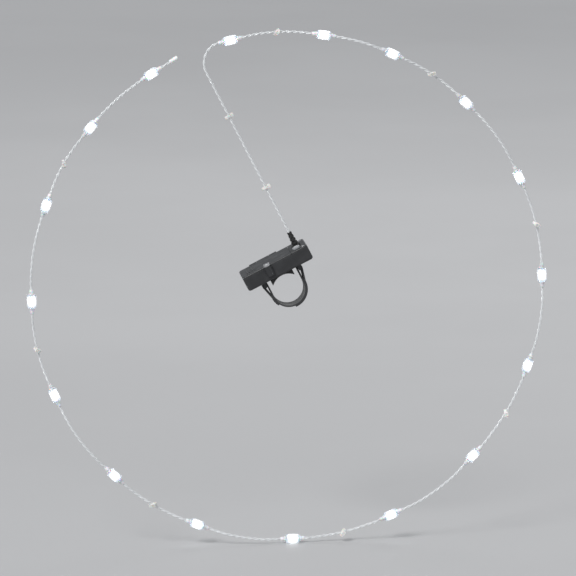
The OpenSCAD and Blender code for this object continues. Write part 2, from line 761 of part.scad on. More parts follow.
module contact_plates() color("silver") on_pack() {
    far = bay_end - plate_t;
    plate(bay_x, -1, -1);
    plate(bay_x, 0, 1);
    bump(0, bay_x + plate_t);
    plate(far, -1, 0);
    bump(-1, far - bump_h);
    plate(far, 1, 1);
    bump(1, far - bump_h);
    translate([far, pitch - tab_w / 2, board_top])
        cube([plate_t + wall + board_clear + tab_l, tab_w, plate_t]);
}

module contact_spring() tube(spring_stations, spring_wire / 2, spring_sides);

module contact_springs() color("silver") on_pack() {
    for (row = [-1, 1]) translate([bay_x + plate_t, row * pitch, cell_z]) contact_spring();
    translate([bay_end - plate_t, 0, cell_z]) rotate([0, 0, 180]) contact_spring();
}

module return_wire() color("black") on_pack() {
    translate([return_start, return_y, return_z]) rotate([0, 90, 0])
        cylinder(d = return_d, h = return_x - return_start);
    translate([return_x, return_y, return_z]) sphere(d = return_d);
    translate([return_x, return_y, return_z]) cylinder(d = return_d, h = board_z - return_z);
}

// Circuit and button

module circuit_board() color("darkgreen") on_pack() difference() {
    translate([board_x + board_clear, -bay_w / 2 + board_clear, board_z])
        cube([board_bay_l - 2 * board_clear, bay_w - 2 * board_clear, board_t]);
    for (y = [-1, 1]) translate([screw_x, y * screw_y, board_z - over])
        cylinder(r = screw_post_d / 2 + board_clear, h = board_t + 2 * over);
}

module control_chip() color("black") on_pack() translate([board_mid, chip_y, board_top + chip_h / 2])
    cube([chip_w, chip_l, chip_h], center = true);

module resistors() color("black") on_pack() for (x = [-1, 1])
    translate([board_mid + x * resistor_x, -cable_d - resistor_l / 2, board_top + resistor_h / 2])
        cube([resistor_w, resistor_l, resistor_h], center = true);

module tact_switch() color("black") on_pack() translate([button_x, -button_y, board_top]) difference() {
    translate([-switch_w / 2, -switch_w / 2, 0]) cube([switch_w, switch_w, switch_h]);
    translate([0, 0, switch_h - 2 * plunger_seat]) cylinder(r = plunger_d / 2 + button_clear, h = switch_h);
}

module switch_plunger() color("red") on_pack() translate([button_x, -button_y, switch_top - plunger_seat])
    cylinder(d = plunger_d, h = stem_z - switch_top + plunger_seat);

module push_button() color("gray") on_pack() translate([button_x, -button_y, 0]) rotate_extrude() {
    r = button_d / 2;
    soft = button_h / 2;
    translate([0, stem_z]) square([button_stem_d / 2, rim_z - stem_z]);
    translate([0, flange_z]) square([r + button_flange_w, button_flange_t]);
    translate([0, flange_z]) square([r, top_z + button_h - soft - flange_z]);
    translate([0, flange_z]) square([r - soft, top_z + button_h - flange_z]);
    translate([r - soft, top_z + button_h - soft]) circle(soft);
}

module cable_gland() color("black") on_pack() translate([lead_x, 0, 0]) rotate_extrude() {
    bore = cable_r + fit_clear;
    boot_z = top_z + gland_flange_t;
    tip_r = bore + gland_tip_wall;
    ring_l = gland_boot_l / boot_rings;
    polygon(concat(
        [
            [bore, rim_z - gland_flange_t], [gland_flange_d / 2, rim_z - gland_flange_t],
            [gland_flange_d / 2, rim_z], [gland_neck_d / 2, rim_z], [gland_neck_d / 2, top_z],
            [gland_flange_d / 2, top_z], [gland_flange_d / 2, boot_z]
        ],
        [for (k = [0:boot_rings - 1])
            let (
                f = k / (boot_rings - 1),
                r = gland_neck_d / 2 * (1 - f) + tip_r * f,
                z = boot_z + k * ring_l
            )
            each [
                [tip_r - gland_groove, z], [tip_r - gland_groove, z + ring_l / 3],
                [r, z + ring_l / 3], [r, z + ring_l]
            ]],
        [[bore, boot_z + gland_boot_l]]
    ));
}

// Strap and pad

module hub_pad() color("black") on_pack() difference() {
    translate([-pad_l / 2, -strap_w / 2, 0]) cube([pad_l, strap_w, case_z]);
    rotate([90, 0, 0]) cylinder(d = hub_d, h = strap_w + over, center = true);
}

// A length of the strap bent to an arc, with its inner radius and the angles of its ends
module bent_strap(inner_r, from, to) rotate(from) rotate_extrude(angle = to - from)
    translate([inner_r, -strap_w / 2]) square([strap_t, strap_w]);

// One end of the strap: up beside the barrel, over its bar, and back down onto itself
module strap_end(side, wrapped) {
    hub_r = hub_d / 2;
    outer_leg = bar_x + wrap_r;
    fold_r = hub_r + strap_t - strap_press;
    mirror([side < 0 ? 1 : 0, 0, 0]) {
        translate([hub_r, 0, -strap_w / 2]) cube([strap_t, bar_z, strap_w]);
        translate([bar_x, bar_z, 0]) bent_strap(wrap_r, 0, 180);
        translate([0, 0, -strap_w / 2]) linear_extrude(strap_w)
            polygon([[outer_leg, bar_z], [outer_leg + strap_t, bar_z], [fold_r + strap_t, 0], [fold_r, 0]]);
        bent_strap(fold_r, -wrapped, 0);
    }
}

module hub_strap() color("#202226") on_pack() rotate([90, 0, 0]) {
    bent_strap(hub_d / 2, 180, 360);
    strap_end(1, strap_tail_angle);
    strap_end(-1, strap_sewn_angle);
}

pack_base();
pack_cover();
cover_seal();
hinge_pin();
cover_screw();
screw_insert();
cell_front();
cell_middle();
cell_rear();
contact_plates();
contact_springs();
return_wire();
circuit_board();
control_chip();
resistors();
tact_switch();
switch_plunger();
push_button();
board_cover();
board_cover_screws();
cable_gland();
lead_cable();
string_cable();
bulb_lenses();
cable_sleeves();
led_boards();
led_chips();
string_end_cap();
spoke_ties();
lead_ties();
hub_pad();
hub_strap();
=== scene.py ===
import json
import math

import bmesh
import bpy
import numpy as np
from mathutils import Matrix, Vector

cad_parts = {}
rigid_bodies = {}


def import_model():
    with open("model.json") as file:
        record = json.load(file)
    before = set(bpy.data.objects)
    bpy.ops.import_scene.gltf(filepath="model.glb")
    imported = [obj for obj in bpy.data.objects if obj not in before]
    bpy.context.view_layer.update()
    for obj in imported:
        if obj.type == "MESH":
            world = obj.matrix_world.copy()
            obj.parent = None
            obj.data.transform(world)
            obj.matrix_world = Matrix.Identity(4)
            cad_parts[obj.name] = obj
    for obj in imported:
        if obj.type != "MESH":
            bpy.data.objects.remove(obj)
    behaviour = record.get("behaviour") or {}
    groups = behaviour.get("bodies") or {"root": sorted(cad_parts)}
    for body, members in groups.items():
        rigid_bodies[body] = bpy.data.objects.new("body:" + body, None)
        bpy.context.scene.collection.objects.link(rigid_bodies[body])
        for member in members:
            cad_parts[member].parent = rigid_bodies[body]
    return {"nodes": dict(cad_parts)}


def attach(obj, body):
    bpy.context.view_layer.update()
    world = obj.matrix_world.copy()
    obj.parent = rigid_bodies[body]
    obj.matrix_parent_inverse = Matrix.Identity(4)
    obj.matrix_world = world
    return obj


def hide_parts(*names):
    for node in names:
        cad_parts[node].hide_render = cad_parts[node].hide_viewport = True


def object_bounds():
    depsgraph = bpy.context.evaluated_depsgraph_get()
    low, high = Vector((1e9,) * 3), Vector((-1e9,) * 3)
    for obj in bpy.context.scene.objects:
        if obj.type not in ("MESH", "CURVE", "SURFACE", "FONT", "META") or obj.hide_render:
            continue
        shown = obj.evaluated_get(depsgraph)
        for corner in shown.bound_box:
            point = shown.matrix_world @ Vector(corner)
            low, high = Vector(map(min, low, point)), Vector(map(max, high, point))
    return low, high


for factory_object in list(bpy.data.objects):
    bpy.data.objects.remove(factory_object)
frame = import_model()
cad_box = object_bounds()

# Units, turns and the ring's axis, with lengths in metres and angles in radians

MM = 0.001
TURN = 2 * math.pi
HALF_TURN = TURN / 2
QUARTER_TURN = TURN / 4
RING_AXIS = np.array([0.0, 1.0, 0.0])
MERGE_DISTANCE = 0.002 * MM

# Sizes of the ring and its bulbs

RING_R = 254 * MM
BULB_ANGLES = np.radians([-13, 8, 24, 44, 65, 88, 109, 133, 156, 179, 201, 223, 246, 268, 290, 310, 328])
LENS_L = 14 * MM
LENS_R = 4.5 * MM
LENS_WALL = 1 * MM
LENS_ROUND = 2 * MM
LENS_INNER_ROUND = 0.6 * MM
LENS_BORE_R = 1.55 * MM
SLEEVE_L = 5 * MM
BULB_REACH = LENS_L / 2 + SLEEVE_L

# Sizes of the cable, of the rods that it is laced through, and of the lead from the pack

CABLE_R = 1.3 * MM
ROD_R = 1 * MM
LACE_CLEAR = 0.1 * MM
LACE_OFFSET = ROD_R + CABLE_R + LACE_CLEAR
SPAN_HANDLE = 1 / 3
LIFT_SHARE = 0.25
TAIL_L = 14 * MM
STRAND_R = 0.62 * MM
CORE_R = 0.38 * MM
CORE_RIDGES = 7
CORE_LAY = 6 * MM
TWIST_PITCH = 13 * MM
CABLE_STEP = 1 * MM
LEAD_ACROSS = 26.3 * MM
LEAD_START = 24.7 * MM
LEAD_BEND = 20 * MM
LEAD_EASE = 0.6

# Sizes of the ties

TIE_W = 2.5 * MM
TIE_T = 1 * MM
TIE_EDGE = 0.25 * MM
TIE_ROUND = 1.2 * MM
TIE_CLEAR = 0.05 * MM
TIE_HEAD = (4.4 * MM, 3 * MM, 4 * MM)
TIE_HEAD_EDGE = 0.5 * MM
TIE_WINDOW = (2.2 * MM, 1.9 * MM, 0.9 * MM)
PAWL_SIZE = (1.87 * MM, 0.7 * MM, 1.33 * MM)
PAWL_EDGE = 0.2 * MM
PAWL_SINK = 0.63 * MM
PAWL_SLANT = 0.35
TIE_STUB = 1.5 * MM
RIDGE_PITCH = 1.1 * MM
RIDGE_DEPTH = 0.22 * MM
TIE_STEP = 2
TIE_SHARE = 0.5
TIE_NEAR = 0.01
TIE_HALF = TIE_W / 2 + CABLE_R * math.sqrt(2) + TIE_CLEAR
TIE_LOW = -ROD_R - TIE_CLEAR
TIE_HIGH = LACE_OFFSET + CABLE_R + TIE_CLEAR
LEAD_TIE_HEIGHTS = (100 * MM, 180 * MM)

# Sizes of the pack's strap and pad

PACK_ANGLE = math.radians(-27)
BARREL_R = 16 * MM
PAD_L = 24 * MM
PAD_TOP = 18.5 * MM
PAD_EDGE = 0.6 * MM
PAD_GROOVE = 0.3 * MM
PAD_GROOVE_STEP = 1.6 * MM
STRAP_W = 20 * MM
STRAP_T = 1.5 * MM
STRAP_EDGE = 0.45 * MM
STRAP_STEP = 0.6 * MM
STRAP_PRESS = 0.2 * MM
BAR_ACROSS = 19.1 * MM
BAR_UP = 13.9 * MM
BAR_R = 1.6 * MM
WRAP_R = BAR_R + STRAP_T / 2
STRAP_TAIL = math.radians(95)
STRAP_SEWN = math.radians(30)
STITCH_R = 0.28 * MM
STITCH_HALF = 1.1 * MM
STITCH_STEP = 2.6 * MM
STITCH_START = 2.2 * MM
STITCH_ASIDE = 8 * MM
STITCH_ROWS = (1.2 * MM, 9.6 * MM)
STITCHES_ALONG = 3
STITCHES_ACROSS = 6

# Sizes of the button's mark, the cells and what carries their current

BUTTON_ACROSS = 25.3 * MM
BUTTON_FORWARD = 10.5 * MM
BUTTON_TOP = 35.7 * MM
MARK_R = 1.7 * MM
MARK_GAP = math.radians(38)
MARK_BAR = (0.7 * MM, 2.3 * MM)
MARK_SECTION = (0.5 * MM, 0.24 * MM)
MARK_EDGE = 0.108 * MM
CELL_ROW = 11.5 * MM
CELL_HEIGHT = 26.1 * MM
CELL_CAN = 43.5 * MM
CELL_NUB = 1 * MM
CELL_BAND = 12 * MM
CELL_MINUS = -28.5 * MM
TURNED_CELL_MINUS = 12.1 * MM
SIGN_ARM = 1.6 * MM
SIGN_PEN = 0.35 * MM
PLATE_LEFT = -32.9 * MM
PLATE_RIGHT = 16.5 * MM
SPRING_BASES = ((PLATE_LEFT, -1, 1), (PLATE_LEFT, 1, 1), (PLATE_RIGHT, 0, -1))
SPRING_L = 4.4 * MM
SPRING_WIRE_R = 0.3 * MM
SPRING_BASE_R = 3.2 * MM
SPRING_TIP_R = 2 * MM
SPRING_TURNS = 3
SPRING_END = 0.12
SPRING_CLEAR = 0.05 * MM
RETURN_START = -32.7 * MM
RETURN_END = 23.5 * MM
RETURN_FORWARD = 16.5 * MM
RETURN_HEIGHT = 21.45 * MM
RETURN_TOP = 23.5 * MM
RETURN_R = 0.6 * MM
RETURN_BEND = 1.5 * MM


# Directions, curves and outlines

def unit(vectors):
    """Each vector divided by its own length."""
    return vectors / np.linalg.norm(vectors, axis=-1, keepdims=True)


def outward(angle):
    """Direction from the middle of the ring, at an angle clockwise from the top."""
    return np.array([math.sin(angle), 0.0, math.cos(angle)])


def clockwise(angle):
    """Direction along the ring at that angle."""
    return np.array([math.cos(angle), 0.0, -math.sin(angle)])


PACK_RIGHT = clockwise(PACK_ANGLE)
PACK_UP = outward(PACK_ANGLE)
PACK_TURN = (0, -PACK_ANGLE, 0)


def in_pack(across, up):
    """Points of the pack's own upright plane: across times its right, plus up times its up direction."""
    return np.multiply.outer(across, PACK_RIGHT) + np.multiply.outer(up, PACK_UP)


def smooth_step(share):
    """0 below 0, 1 above 1, and between them three squares less two cubes."""
    share = np.clip(share, 0, 1)
    return share * share * (3 - 2 * share)


def run_length(path):
    """Distance along a path from its start to each of its points."""
    steps = np.linalg.norm(np.diff(path, axis=0), axis=1)
    return np.concatenate([[0], np.cumsum(steps)])


def square_to(path):
    """Two directions square to a path that never runs along the ring's axis: the first is square to that
    axis too, and the second to the first."""
    way = unit(np.gradient(path, axis=0))
    across = unit(np.cross(way, RING_AXIS))
    return across, np.cross(across, way)


def cubic(ends, share):
    """A cubic curve through its first and last point, drawn towards the two handles between them."""
    share = share[:, None]
    rest = 1 - share
    near = rest**3 * ends[0] + 3 * share * rest**2 * ends[1]
    far = 3 * share**2 * rest * ends[2] + share**3 * ends[3]
    return near + far


def arc(centre, radius, start, end, steps):
    """Points of a flat arc: its centre plus its radius times the cosine and sine of evenly spaced angles."""
    angles = np.linspace(start, end, steps)
    return np.stack([centre[0] + radius * np.cos(angles), centre[1] + radius * np.sin(angles)], -1)


def circle_outline(radius, sides):
    """A closed circle of that many points."""
    return arc((0, 0), radius, 0, TURN, sides + 1)[:-1]


def rounded_outline(width, height, corner, steps=5):
    """A closed rectangle with four quarter arcs at its corners."""
    x = width / 2 - corner
    y = height / 2 - corner
    centres = [(x, y), (-x, y), (-x, -y), (x, -y)]
    starts = QUARTER_TURN * np.arange(4)
    return np.concatenate([arc(centre, corner, start, start + QUARTER_TURN, steps)
                           for centre, start in zip(centres, starts)])


def even_points(path, step):
    """A path's points spread evenly again, about one step apart."""
    run = run_length(path)
    marks = np.linspace(0, run[-1], round(run[-1] / step) + 1)
    return np.stack([np.interp(marks, run, column) for column in path.T], -1)


# Grids of points and the pieces made from them

def grid_part(points, row_marks, column_marks, close_rows=False):
    """A surface over a grid of points whose rows are closed loops: quads between neighbouring rows and
    columns, each corner marked with its row's and its column's place for patterns."""
    rows, columns = points.shape[:2]
    row_steps = rows if close_rows else rows - 1
    row, column = np.meshgrid(np.arange(row_steps), np.arange(columns), indexing="ij")
    corners = [(row, column), (row + 1, column), (row + 1, column + 1), (row, column + 1)]
    quads = np.stack([i % rows * columns + j % columns for i, j in corners], -1)
    marks = np.stack([np.stack([row_marks[i], column_marks[j]], -1) for i, j in corners], -2)
    return points.reshape(-1, 3), quads.reshape(-1, 4), marks.reshape(-1, 4, 2)


def with_ends(values):
    """A list of values with its first and its last one twice."""
    return np.concatenate([values[:1], values, values[-1:]])


def pinched(points):
    """A grid with one more row at each end, drawn together to the middle of the end row."""
    first = np.broadcast_to(points[0].mean(0), points[:1].shape)
    last = np.broadcast_to(points[-1].mean(0), points[:1].shape)
    return np.concatenate([first, points, last])


def outline_marks(outline):
    """Distance along a closed outline to each of its points, and back to the first."""
    return run_length(np.concatenate([outline, outline[:1]]))


def swept(path, across, up, outline, closed=False):
    """An outline carried along a path: path, plus the outline's first number times the direction across,
    plus its second times the direction up. An open sweep gets flat ends."""
    points = path[:, None] + outline[None, :, :1] * across[:, None] + outline[None, :, 1:] * up[:, None]
    if closed:
        return grid_part(points, outline_marks(path), outline_marks(outline), close_rows=True)
    return grid_part(pinched(points), with_ends(run_length(path)), outline_marks(outline))


def tube(path, radius, sides):
    """A circle carried along a path that never runs along the ring's axis."""
    across, up = square_to(path)
    return swept(path, across, up, circle_outline(radius, sides))


def turned(profile, axis, origin, sides, marks):
    """A closed profile of radius and height turned about an axis: the origin, plus the height along the
    axis, plus the radius times a unit circle across it."""
    side = unit(np.cross(axis, RING_AXIS))
    circle = circle_outline(1, sides)
    rays = circle[:, :1] * side + circle[:, 1:] * RING_AXIS
    points = origin + profile[None, :, 1:] * axis + profile[None, :, :1] * rays[:, None]
    return grid_part(points, np.linspace(0, 1, sides + 1), np.append(marks, marks[0]), close_rows=True)


def rounded_block(size, edge, origin, directions, window=None):
    """A block with rounded edges: rounded rectangles stacked along its second direction, drawn in at both
    ends by a quarter circle and then to the middle of the end face. A window, of a length, a width and a
    depth, is one more rounded rectangle sunk into the far end face."""
    ease = np.linspace(0, QUARTER_TURN, num=4)
    draw_in = edge * (1 - np.sin(ease))
    level = size[1] / 2 - edge * (1 - np.cos(ease))
    draw_in = np.concatenate([draw_in, draw_in[::-1]])
    level = np.concatenate([-level, level[::-1]])
    outline = rounded_outline(size[0], size[2], edge)
    flat = outline * (1 - 2 * draw_in[:, None, None] / np.array([size[0], size[2]]))
    if window:
        opening = rounded_outline(window[0], window[1], edge / 2)
        flat = np.concatenate([flat, [opening, opening]])
        level = np.concatenate([level, [level[-1], level[-1] - window[2]]])
    points = np.stack([flat[..., 0], np.broadcast_to(level[:, None], flat.shape[:2]), flat[..., 1]], -1)
    placed = origin + points @ np.array(directions)
    return grid_part(pinched(placed), with_ends(level), outline_marks(outline))


def facing_out(part):
    """A closed part with its quads turned, if need be, so that the volume they enclose is positive."""
    points, quads, marks = part
    first, second, third, fourth = np.moveaxis(points[quads], 1, 0)
    volume = np.einsum("ij,ij->", first, np.cross(second, third) + np.cross(third, fourth))
    return part if volume > 0 else (points, quads[:, ::-1], marks[:, ::-1])


def make_piece(name, parts, material, replaced=None, sharp=40, body="case"):
    """One object from closed parts. Pinched ends are merged to points, and edges that turn by more than
    the sharp angle, in degrees, stay crisp."""
    parts = [facing_out(part) for part in parts]
    starts = np.cumsum([0] + [len(part[0]) for part in parts[:-1]])
    points = np.concatenate([part[0] for part in parts])
    quads = np.concatenate([part[1] + start for part, start in zip(parts, starts)])
    marks = np.concatenate([part[2] for part in parts])
    mesh = bpy.data.meshes.new(name)
    mesh.from_pydata(points, [], quads)
    mesh.uv_layers.new(name="surface").data.foreach_set("uv", marks.astype(np.float32).ravel())
    merged = bmesh.new()
    merged.from_mesh(mesh)
    bmesh.ops.remove_doubles(merged, verts=merged.verts, dist=MERGE_DISTANCE)
    merged.to_mesh(mesh)
    merged.free()
    mesh.polygons.foreach_set("use_smooth", np.ones(len(mesh.polygons), bool))
    mesh.set_sharp_from_angle(angle=math.radians(sharp))
    mesh.materials.append(material)
    piece = bpy.data.objects.new(name, mesh)
    bpy.context.scene.collection.objects.link(piece)
    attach(piece, body)
    if replaced:
        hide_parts(replaced)


# Shader nodes, and the node groups that several finishes share

VALUE = "NodeSocketFloat"
VECTOR = "NodeSocketVector"


def new_group(name, inputs, outputs):
    """An empty shader node group with named sockets, and its own input and output nodes."""
    group = bpy.data.node_groups.new(name, "ShaderNodeTree")
    for side, sockets in (("INPUT", inputs), ("OUTPUT", outputs)):
        for socket, kind in sockets.items():
            group.interface.new_socket(socket, in_out=side, socket_type=kind)
    return group, group.nodes.new("NodeGroupInput"), group.nodes.new("NodeGroupOutput")


def set_inputs(tree, node, **inputs):
    """Sets a node's sockets to values, or joins other nodes' outputs to them. A socket goes by its name,
    with _ for each space, or by _ and its number."""
    for key, value in inputs.items():
        socket = node.inputs[int(key[1:]) if key[1:].isdigit() else key.replace("_", " ")]
        if isinstance(value, bpy.types.NodeSocket):
            tree.links.new(value, socket)
        else:
            socket.default_value = value


def add_node(tree, kind, settings=None, **inputs):
    """A new node with its settings and its sockets set."""
    node = tree.nodes.new(kind)
    for setting, value in (settings or {}).items():
        setattr(node, setting, value)
    set_inputs(tree, node, **inputs)
    return node


def use_group(tree, group, **inputs):
    """A node group placed in a material."""
    return add_node(tree, "ShaderNodeGroup", {"node_tree": group}, **inputs)


def maths(tree, operation, first, second=0.0, third=0.0):
    """The result of one Math node."""
    node = add_node(tree, "ShaderNodeMath", {"operation": operation}, _0=first, _1=second, _2=third)
    return node.outputs[0]


def likeness(tree, first, second):
    """The dot product of two directions: 1 where they are the same."""
    node = add_node(tree, "ShaderNodeVectorMath", {"operation": "DOT_PRODUCT"}, _0=first, _1=second)
    return node.outputs["Value"]


def between(tree, value, low, high, out_low=0.0, out_high=1.0):
    """A value moved from one range to another by a smooth step, and kept inside it."""
    node = add_node(tree, "ShaderNodeMapRange", {"interpolation_type": "SMOOTHSTEP"}, Value=value,
                    _1=low, _2=high, _3=out_low, _4=out_high)
    return node.outputs["Result"]


def spread(tree, mask, low, high):
    """A mask of 0 to 1 moved to another range by a smooth step."""
    return between(tree, mask, 0.0, 1.0, low, high)


def blend_colour(tree, share, first, second):
    """One colour, or the other where the share is 1."""
    node = add_node(tree, "ShaderNodeMix", {"data_type": "RGBA"}, Factor=share, _6=first, _7=second)
    return node.outputs[2]


def noise(tree, vector, scale, detail=3.0):
    """The grey value of a noise texture."""
    node = add_node(tree, "ShaderNodeTexNoise", Vector=vector, Scale=scale, Detail=detail, Roughness=0.55)
    return node.outputs[0]


def grain_group():
    """Fine grain, broad clouds of tone and sparse specks, all from noise at three scales."""
    group, inside, outside = new_group(
        "surface grain", {"Vector": VECTOR, "Grain scale": VALUE, "Cloud scale": VALUE},
        {"Grain": VALUE, "Cloud": VALUE, "Specks": VALUE})
    vector = inside.outputs["Vector"]
    grain_scale = inside.outputs["Grain scale"]
    speck_scale = maths(group, "MULTIPLY", grain_scale, 0.35)
    cloud = noise(group, vector, inside.outputs["Cloud scale"], detail=4.0)
    specks = noise(group, vector, speck_scale, detail=2.0)
    set_inputs(group, outside, Grain=noise(group, vector, grain_scale),
               Cloud=between(group, cloud, 0.35, 0.65), Specks=between(group, specks, 0.66, 0.74))
    return group


def edge_group():
    """Rounded normals near an edge, and a mask of the places where they differ from the flat ones."""
    group, inside, outside = new_group("soft edges", {"Radius": VALUE}, {"Edge": VALUE, "Normal": VECTOR})
    bevel = add_node(group, "ShaderNodeBevel", {"samples": 6}, Radius=inside.outputs["Radius"])
    rounded = bevel.outputs[0]
    flat = add_node(group, "ShaderNodeNewGeometry").outputs["Normal"]
    edge = between(group, likeness(group, rounded, flat), 0.99, 0.86)
    set_inputs(group, outside, Edge=edge, Normal=rounded)
    return group


def lines_group():
    """Fine drawn lines: noise stretched a hundredfold along the first axis of its vector."""
    group, inside, outside = new_group("drawn lines", {"Vector": VECTOR, "Scale": VALUE}, {"Lines": VALUE})
    stretched = add_node(group, "ShaderNodeVectorMath", {"operation": "MULTIPLY"},
                         _0=inside.outputs["Vector"], _1=(0.01, 1.0, 1.0)).outputs[0]
    set_inputs(group, outside, Lines=noise(group, stretched, inside.outputs["Scale"], detail=4.0))
    return group


def weave_group():
    """Plain weave over marks in metres: two rounded waves that take turns in a chequer of threads."""
    group, inside, outside = new_group("plain weave", {"Vector": VECTOR, "Thread": VALUE},
                                       {"Height": VALUE, "Over": VALUE})
    split = add_node(group, "ShaderNodeSeparateXYZ", Vector=inside.outputs["Vector"])
    half_turns = maths(group, "DIVIDE", HALF_TURN, inside.outputs["Thread"])
    along = maths(group, "SINE", maths(group, "MULTIPLY", split.outputs["X"], half_turns))
    across = maths(group, "SINE", maths(group, "MULTIPLY", split.outputs["Y"], half_turns))
    over = between(group, maths(group, "MULTIPLY", along, across), -0.2, 0.2)
    under = maths(group, "SUBTRACT", 1.0, over)
    upper = maths(group, "MULTIPLY", maths(group, "ABSOLUTE", along), over)
    lower = maths(group, "MULTIPLY", maths(group, "ABSOLUTE", across), under)
    set_inputs(group, outside, Height=maths(group, "ADD", upper, lower), Over=over)
    return group


GRAIN = grain_group()
EDGE = edge_group()
LINES = lines_group()
WEAVE = weave_group()


# Finishes

def new_finish(name, colour, roughness, **sockets):
    """A material whose even values are set on its shader's own sockets."""
    material = bpy.data.materials.new(name)
    material.use_nodes = True
    tree = material.node_tree
    shader = tree.nodes["Principled BSDF"]
    set_inputs(tree, shader, Base_Color=(*colour, 1), Roughness=roughness, **sockets)
    return material, tree, shader


def object_place(tree, turn=(0, 0, 0)):
    """Object coordinates, turned about the origin."""
    place = add_node(tree, "ShaderNodeTexCoord").outputs["Object"]
    return add_node(tree, "ShaderNodeMapping", Vector=place, Rotation=turn).outputs[0]


def surface_marks(tree):
    """The piece's own marks, along and across its surface."""
    return add_node(tree, "ShaderNodeTexCoord").outputs["UV"]


def shaded(colour, factor):
    """A colour made lighter or darker, with full alpha."""
    return (*(min(1.0, part * factor) for part in colour), 1)


def shades(tree, share, colour, first, second):
    """One shade of a colour, or another where the share is 1."""
    return blend_colour(tree, share, shaded(colour, first), shaded(colour, second))


def set_bump(tree, shader, height, strength, depth, **under):
    """Joins a height to the shader's normal through one Bump node, on top of a given normal, if any."""
    bump = add_node(tree, "ShaderNodeBump", Height=height, Strength=strength, Distance=depth, **under)
    set_inputs(tree, shader, Normal=bump.outputs[0])


def moulded(name, colour, roughness, grain=2200.0, relief=0.25, edge=0.3 * MM, worn=1.6, **sockets):
    """Moulded plastic or rubber: fine grain, clouds of tone from handling, specks of dust and edges that
    are rounded and worn to another shade."""
    material, tree, shader = new_finish(name, colour, roughness, **sockets)
    texture = use_group(tree, GRAIN, Vector=object_place(tree), Grain_scale=grain, Cloud_scale=90.0)
    cloud = texture.outputs["Cloud"]
    soft = use_group(tree, EDGE, Radius=edge)
    dust = maths(tree, "MULTIPLY", texture.outputs["Specks"], 0.35)
    dusty = blend_colour(tree, dust, shades(tree, cloud, colour, 0.86, 1.12), shaded(colour, 1.9))
    worn_edge = maths(tree, "MULTIPLY", soft.outputs["Edge"], cloud)
    set_inputs(tree, shader, Base_Color=blend_colour(tree, worn_edge, dusty, shaded(colour, worn)),
               Roughness=spread(tree, cloud, roughness - 0.07, roughness + 0.07))
    set_bump(tree, shader, texture.outputs["Grain"], relief, 0.05 * MM, Normal=soft.outputs["Normal"])
    return material


def metal(name, colour, roughness):
    """Plated or turned metal: drawn lines in its tone, gloss and height, dulled in clouds."""
    material, tree, shader = new_finish(name, colour, roughness, Metallic=1.0)
    place = object_place(tree, PACK_TURN)
    lines = use_group(tree, LINES, Vector=place, Scale=1800.0).outputs["Lines"]
    cloud = use_group(tree, GRAIN, Vector=place, Cloud_scale=150.0).outputs["Cloud"]
    soft = use_group(tree, EDGE, Radius=0.15 * MM)
    tone = shades(tree, lines, colour, 0.85, 1.1)
    tarnish = maths(tree, "MULTIPLY", cloud, 0.3)
    uneven = maths(tree, "ADD", lines, cloud)
    set_inputs(tree, shader, Base_Color=blend_colour(tree, tarnish, tone, shaded(colour, 0.7)),
               Roughness=maths(tree, "MULTIPLY_ADD", uneven, 0.12, roughness - 0.06))
    set_bump(tree, shader, lines, 0.15, 0.03 * MM, Normal=soft.outputs["Normal"])
    return material


CASE_PLASTIC = moulded("case plastic", (0.028, 0.029, 0.031), 0.46, grain=2600.0, relief=0.6, worn=2.2)
SOFT_RUBBER = moulded("soft rubber", (0.02, 0.02, 0.02), 0.68, grain=1800.0, relief=0.3, edge=0.4 * MM)
BUTTON_RUBBER = moulded("button rubber", (0.33, 0.34, 0.35), 0.6, grain=2600.0, relief=0.2, worn=1.15)
MARK_RUBBER = moulded("mark rubber", (0.72, 0.73, 0.74), 0.55, relief=0.15, edge=0.1 * MM, worn=1.1)
PART_EPOXY = moulded("moulded epoxy", (0.025, 0.025, 0.027), 0.5, grain=4000.0, edge=0.1 * MM)
PLUNGER_PLASTIC = moulded("plunger plastic", (0.5, 0.06, 0.04), 0.35, edge=0.15 * MM, worn=1.2)
WIRE_SHEATH = moulded("wire sheath", (0.03, 0.03, 0.03), 0.38, grain=1500.0, relief=0.1, edge=0.1 * MM)
LED_BOARD = moulded("white board", (0.9, 0.9, 0.9), 0.35, grain=5000.0, relief=0.1, worn=0.8,
                    edge=0.08 * MM)
SLEEVE_PLASTIC = moulded("milky sleeve", (0.78, 0.8, 0.82), 0.3, grain=1400.0, relief=0.12, worn=1.1,
                         edge=0.2 * MM, Subsurface_Weight=0.35, Subsurface_Scale=1.5 * MM)
TIE_NYLON = moulded("tie nylon", (0.8, 0.8, 0.77), 0.42, grain=1600.0, relief=0.15, worn=1.1,
                    edge=0.15 * MM, Subsurface_Weight=0.25, Subsurface_Scale=1 * MM)
PLATED_STEEL = metal("plated steel", (0.62, 0.62, 0.63), 0.3)
BRASS = metal("turned brass", (0.72, 0.53, 0.25), 0.28)


def sign_bar(tree, place, middle, half_length, half_width):
    """1 inside a bar on a cell's jacket: a middle and half a length along the cell, and half a width."""
    split = add_node(tree, "ShaderNodeSeparateXYZ", Vector=place)
    row = maths(tree, "WRAP", split.outputs["Y"], CELL_ROW / 2, -CELL_ROW / 2)
    inside_length = maths(tree, "COMPARE", split.outputs["X"], middle, half_length)
    return maths(tree, "MULTIPLY", inside_length, maths(tree, "COMPARE", row, 0.0, half_width))


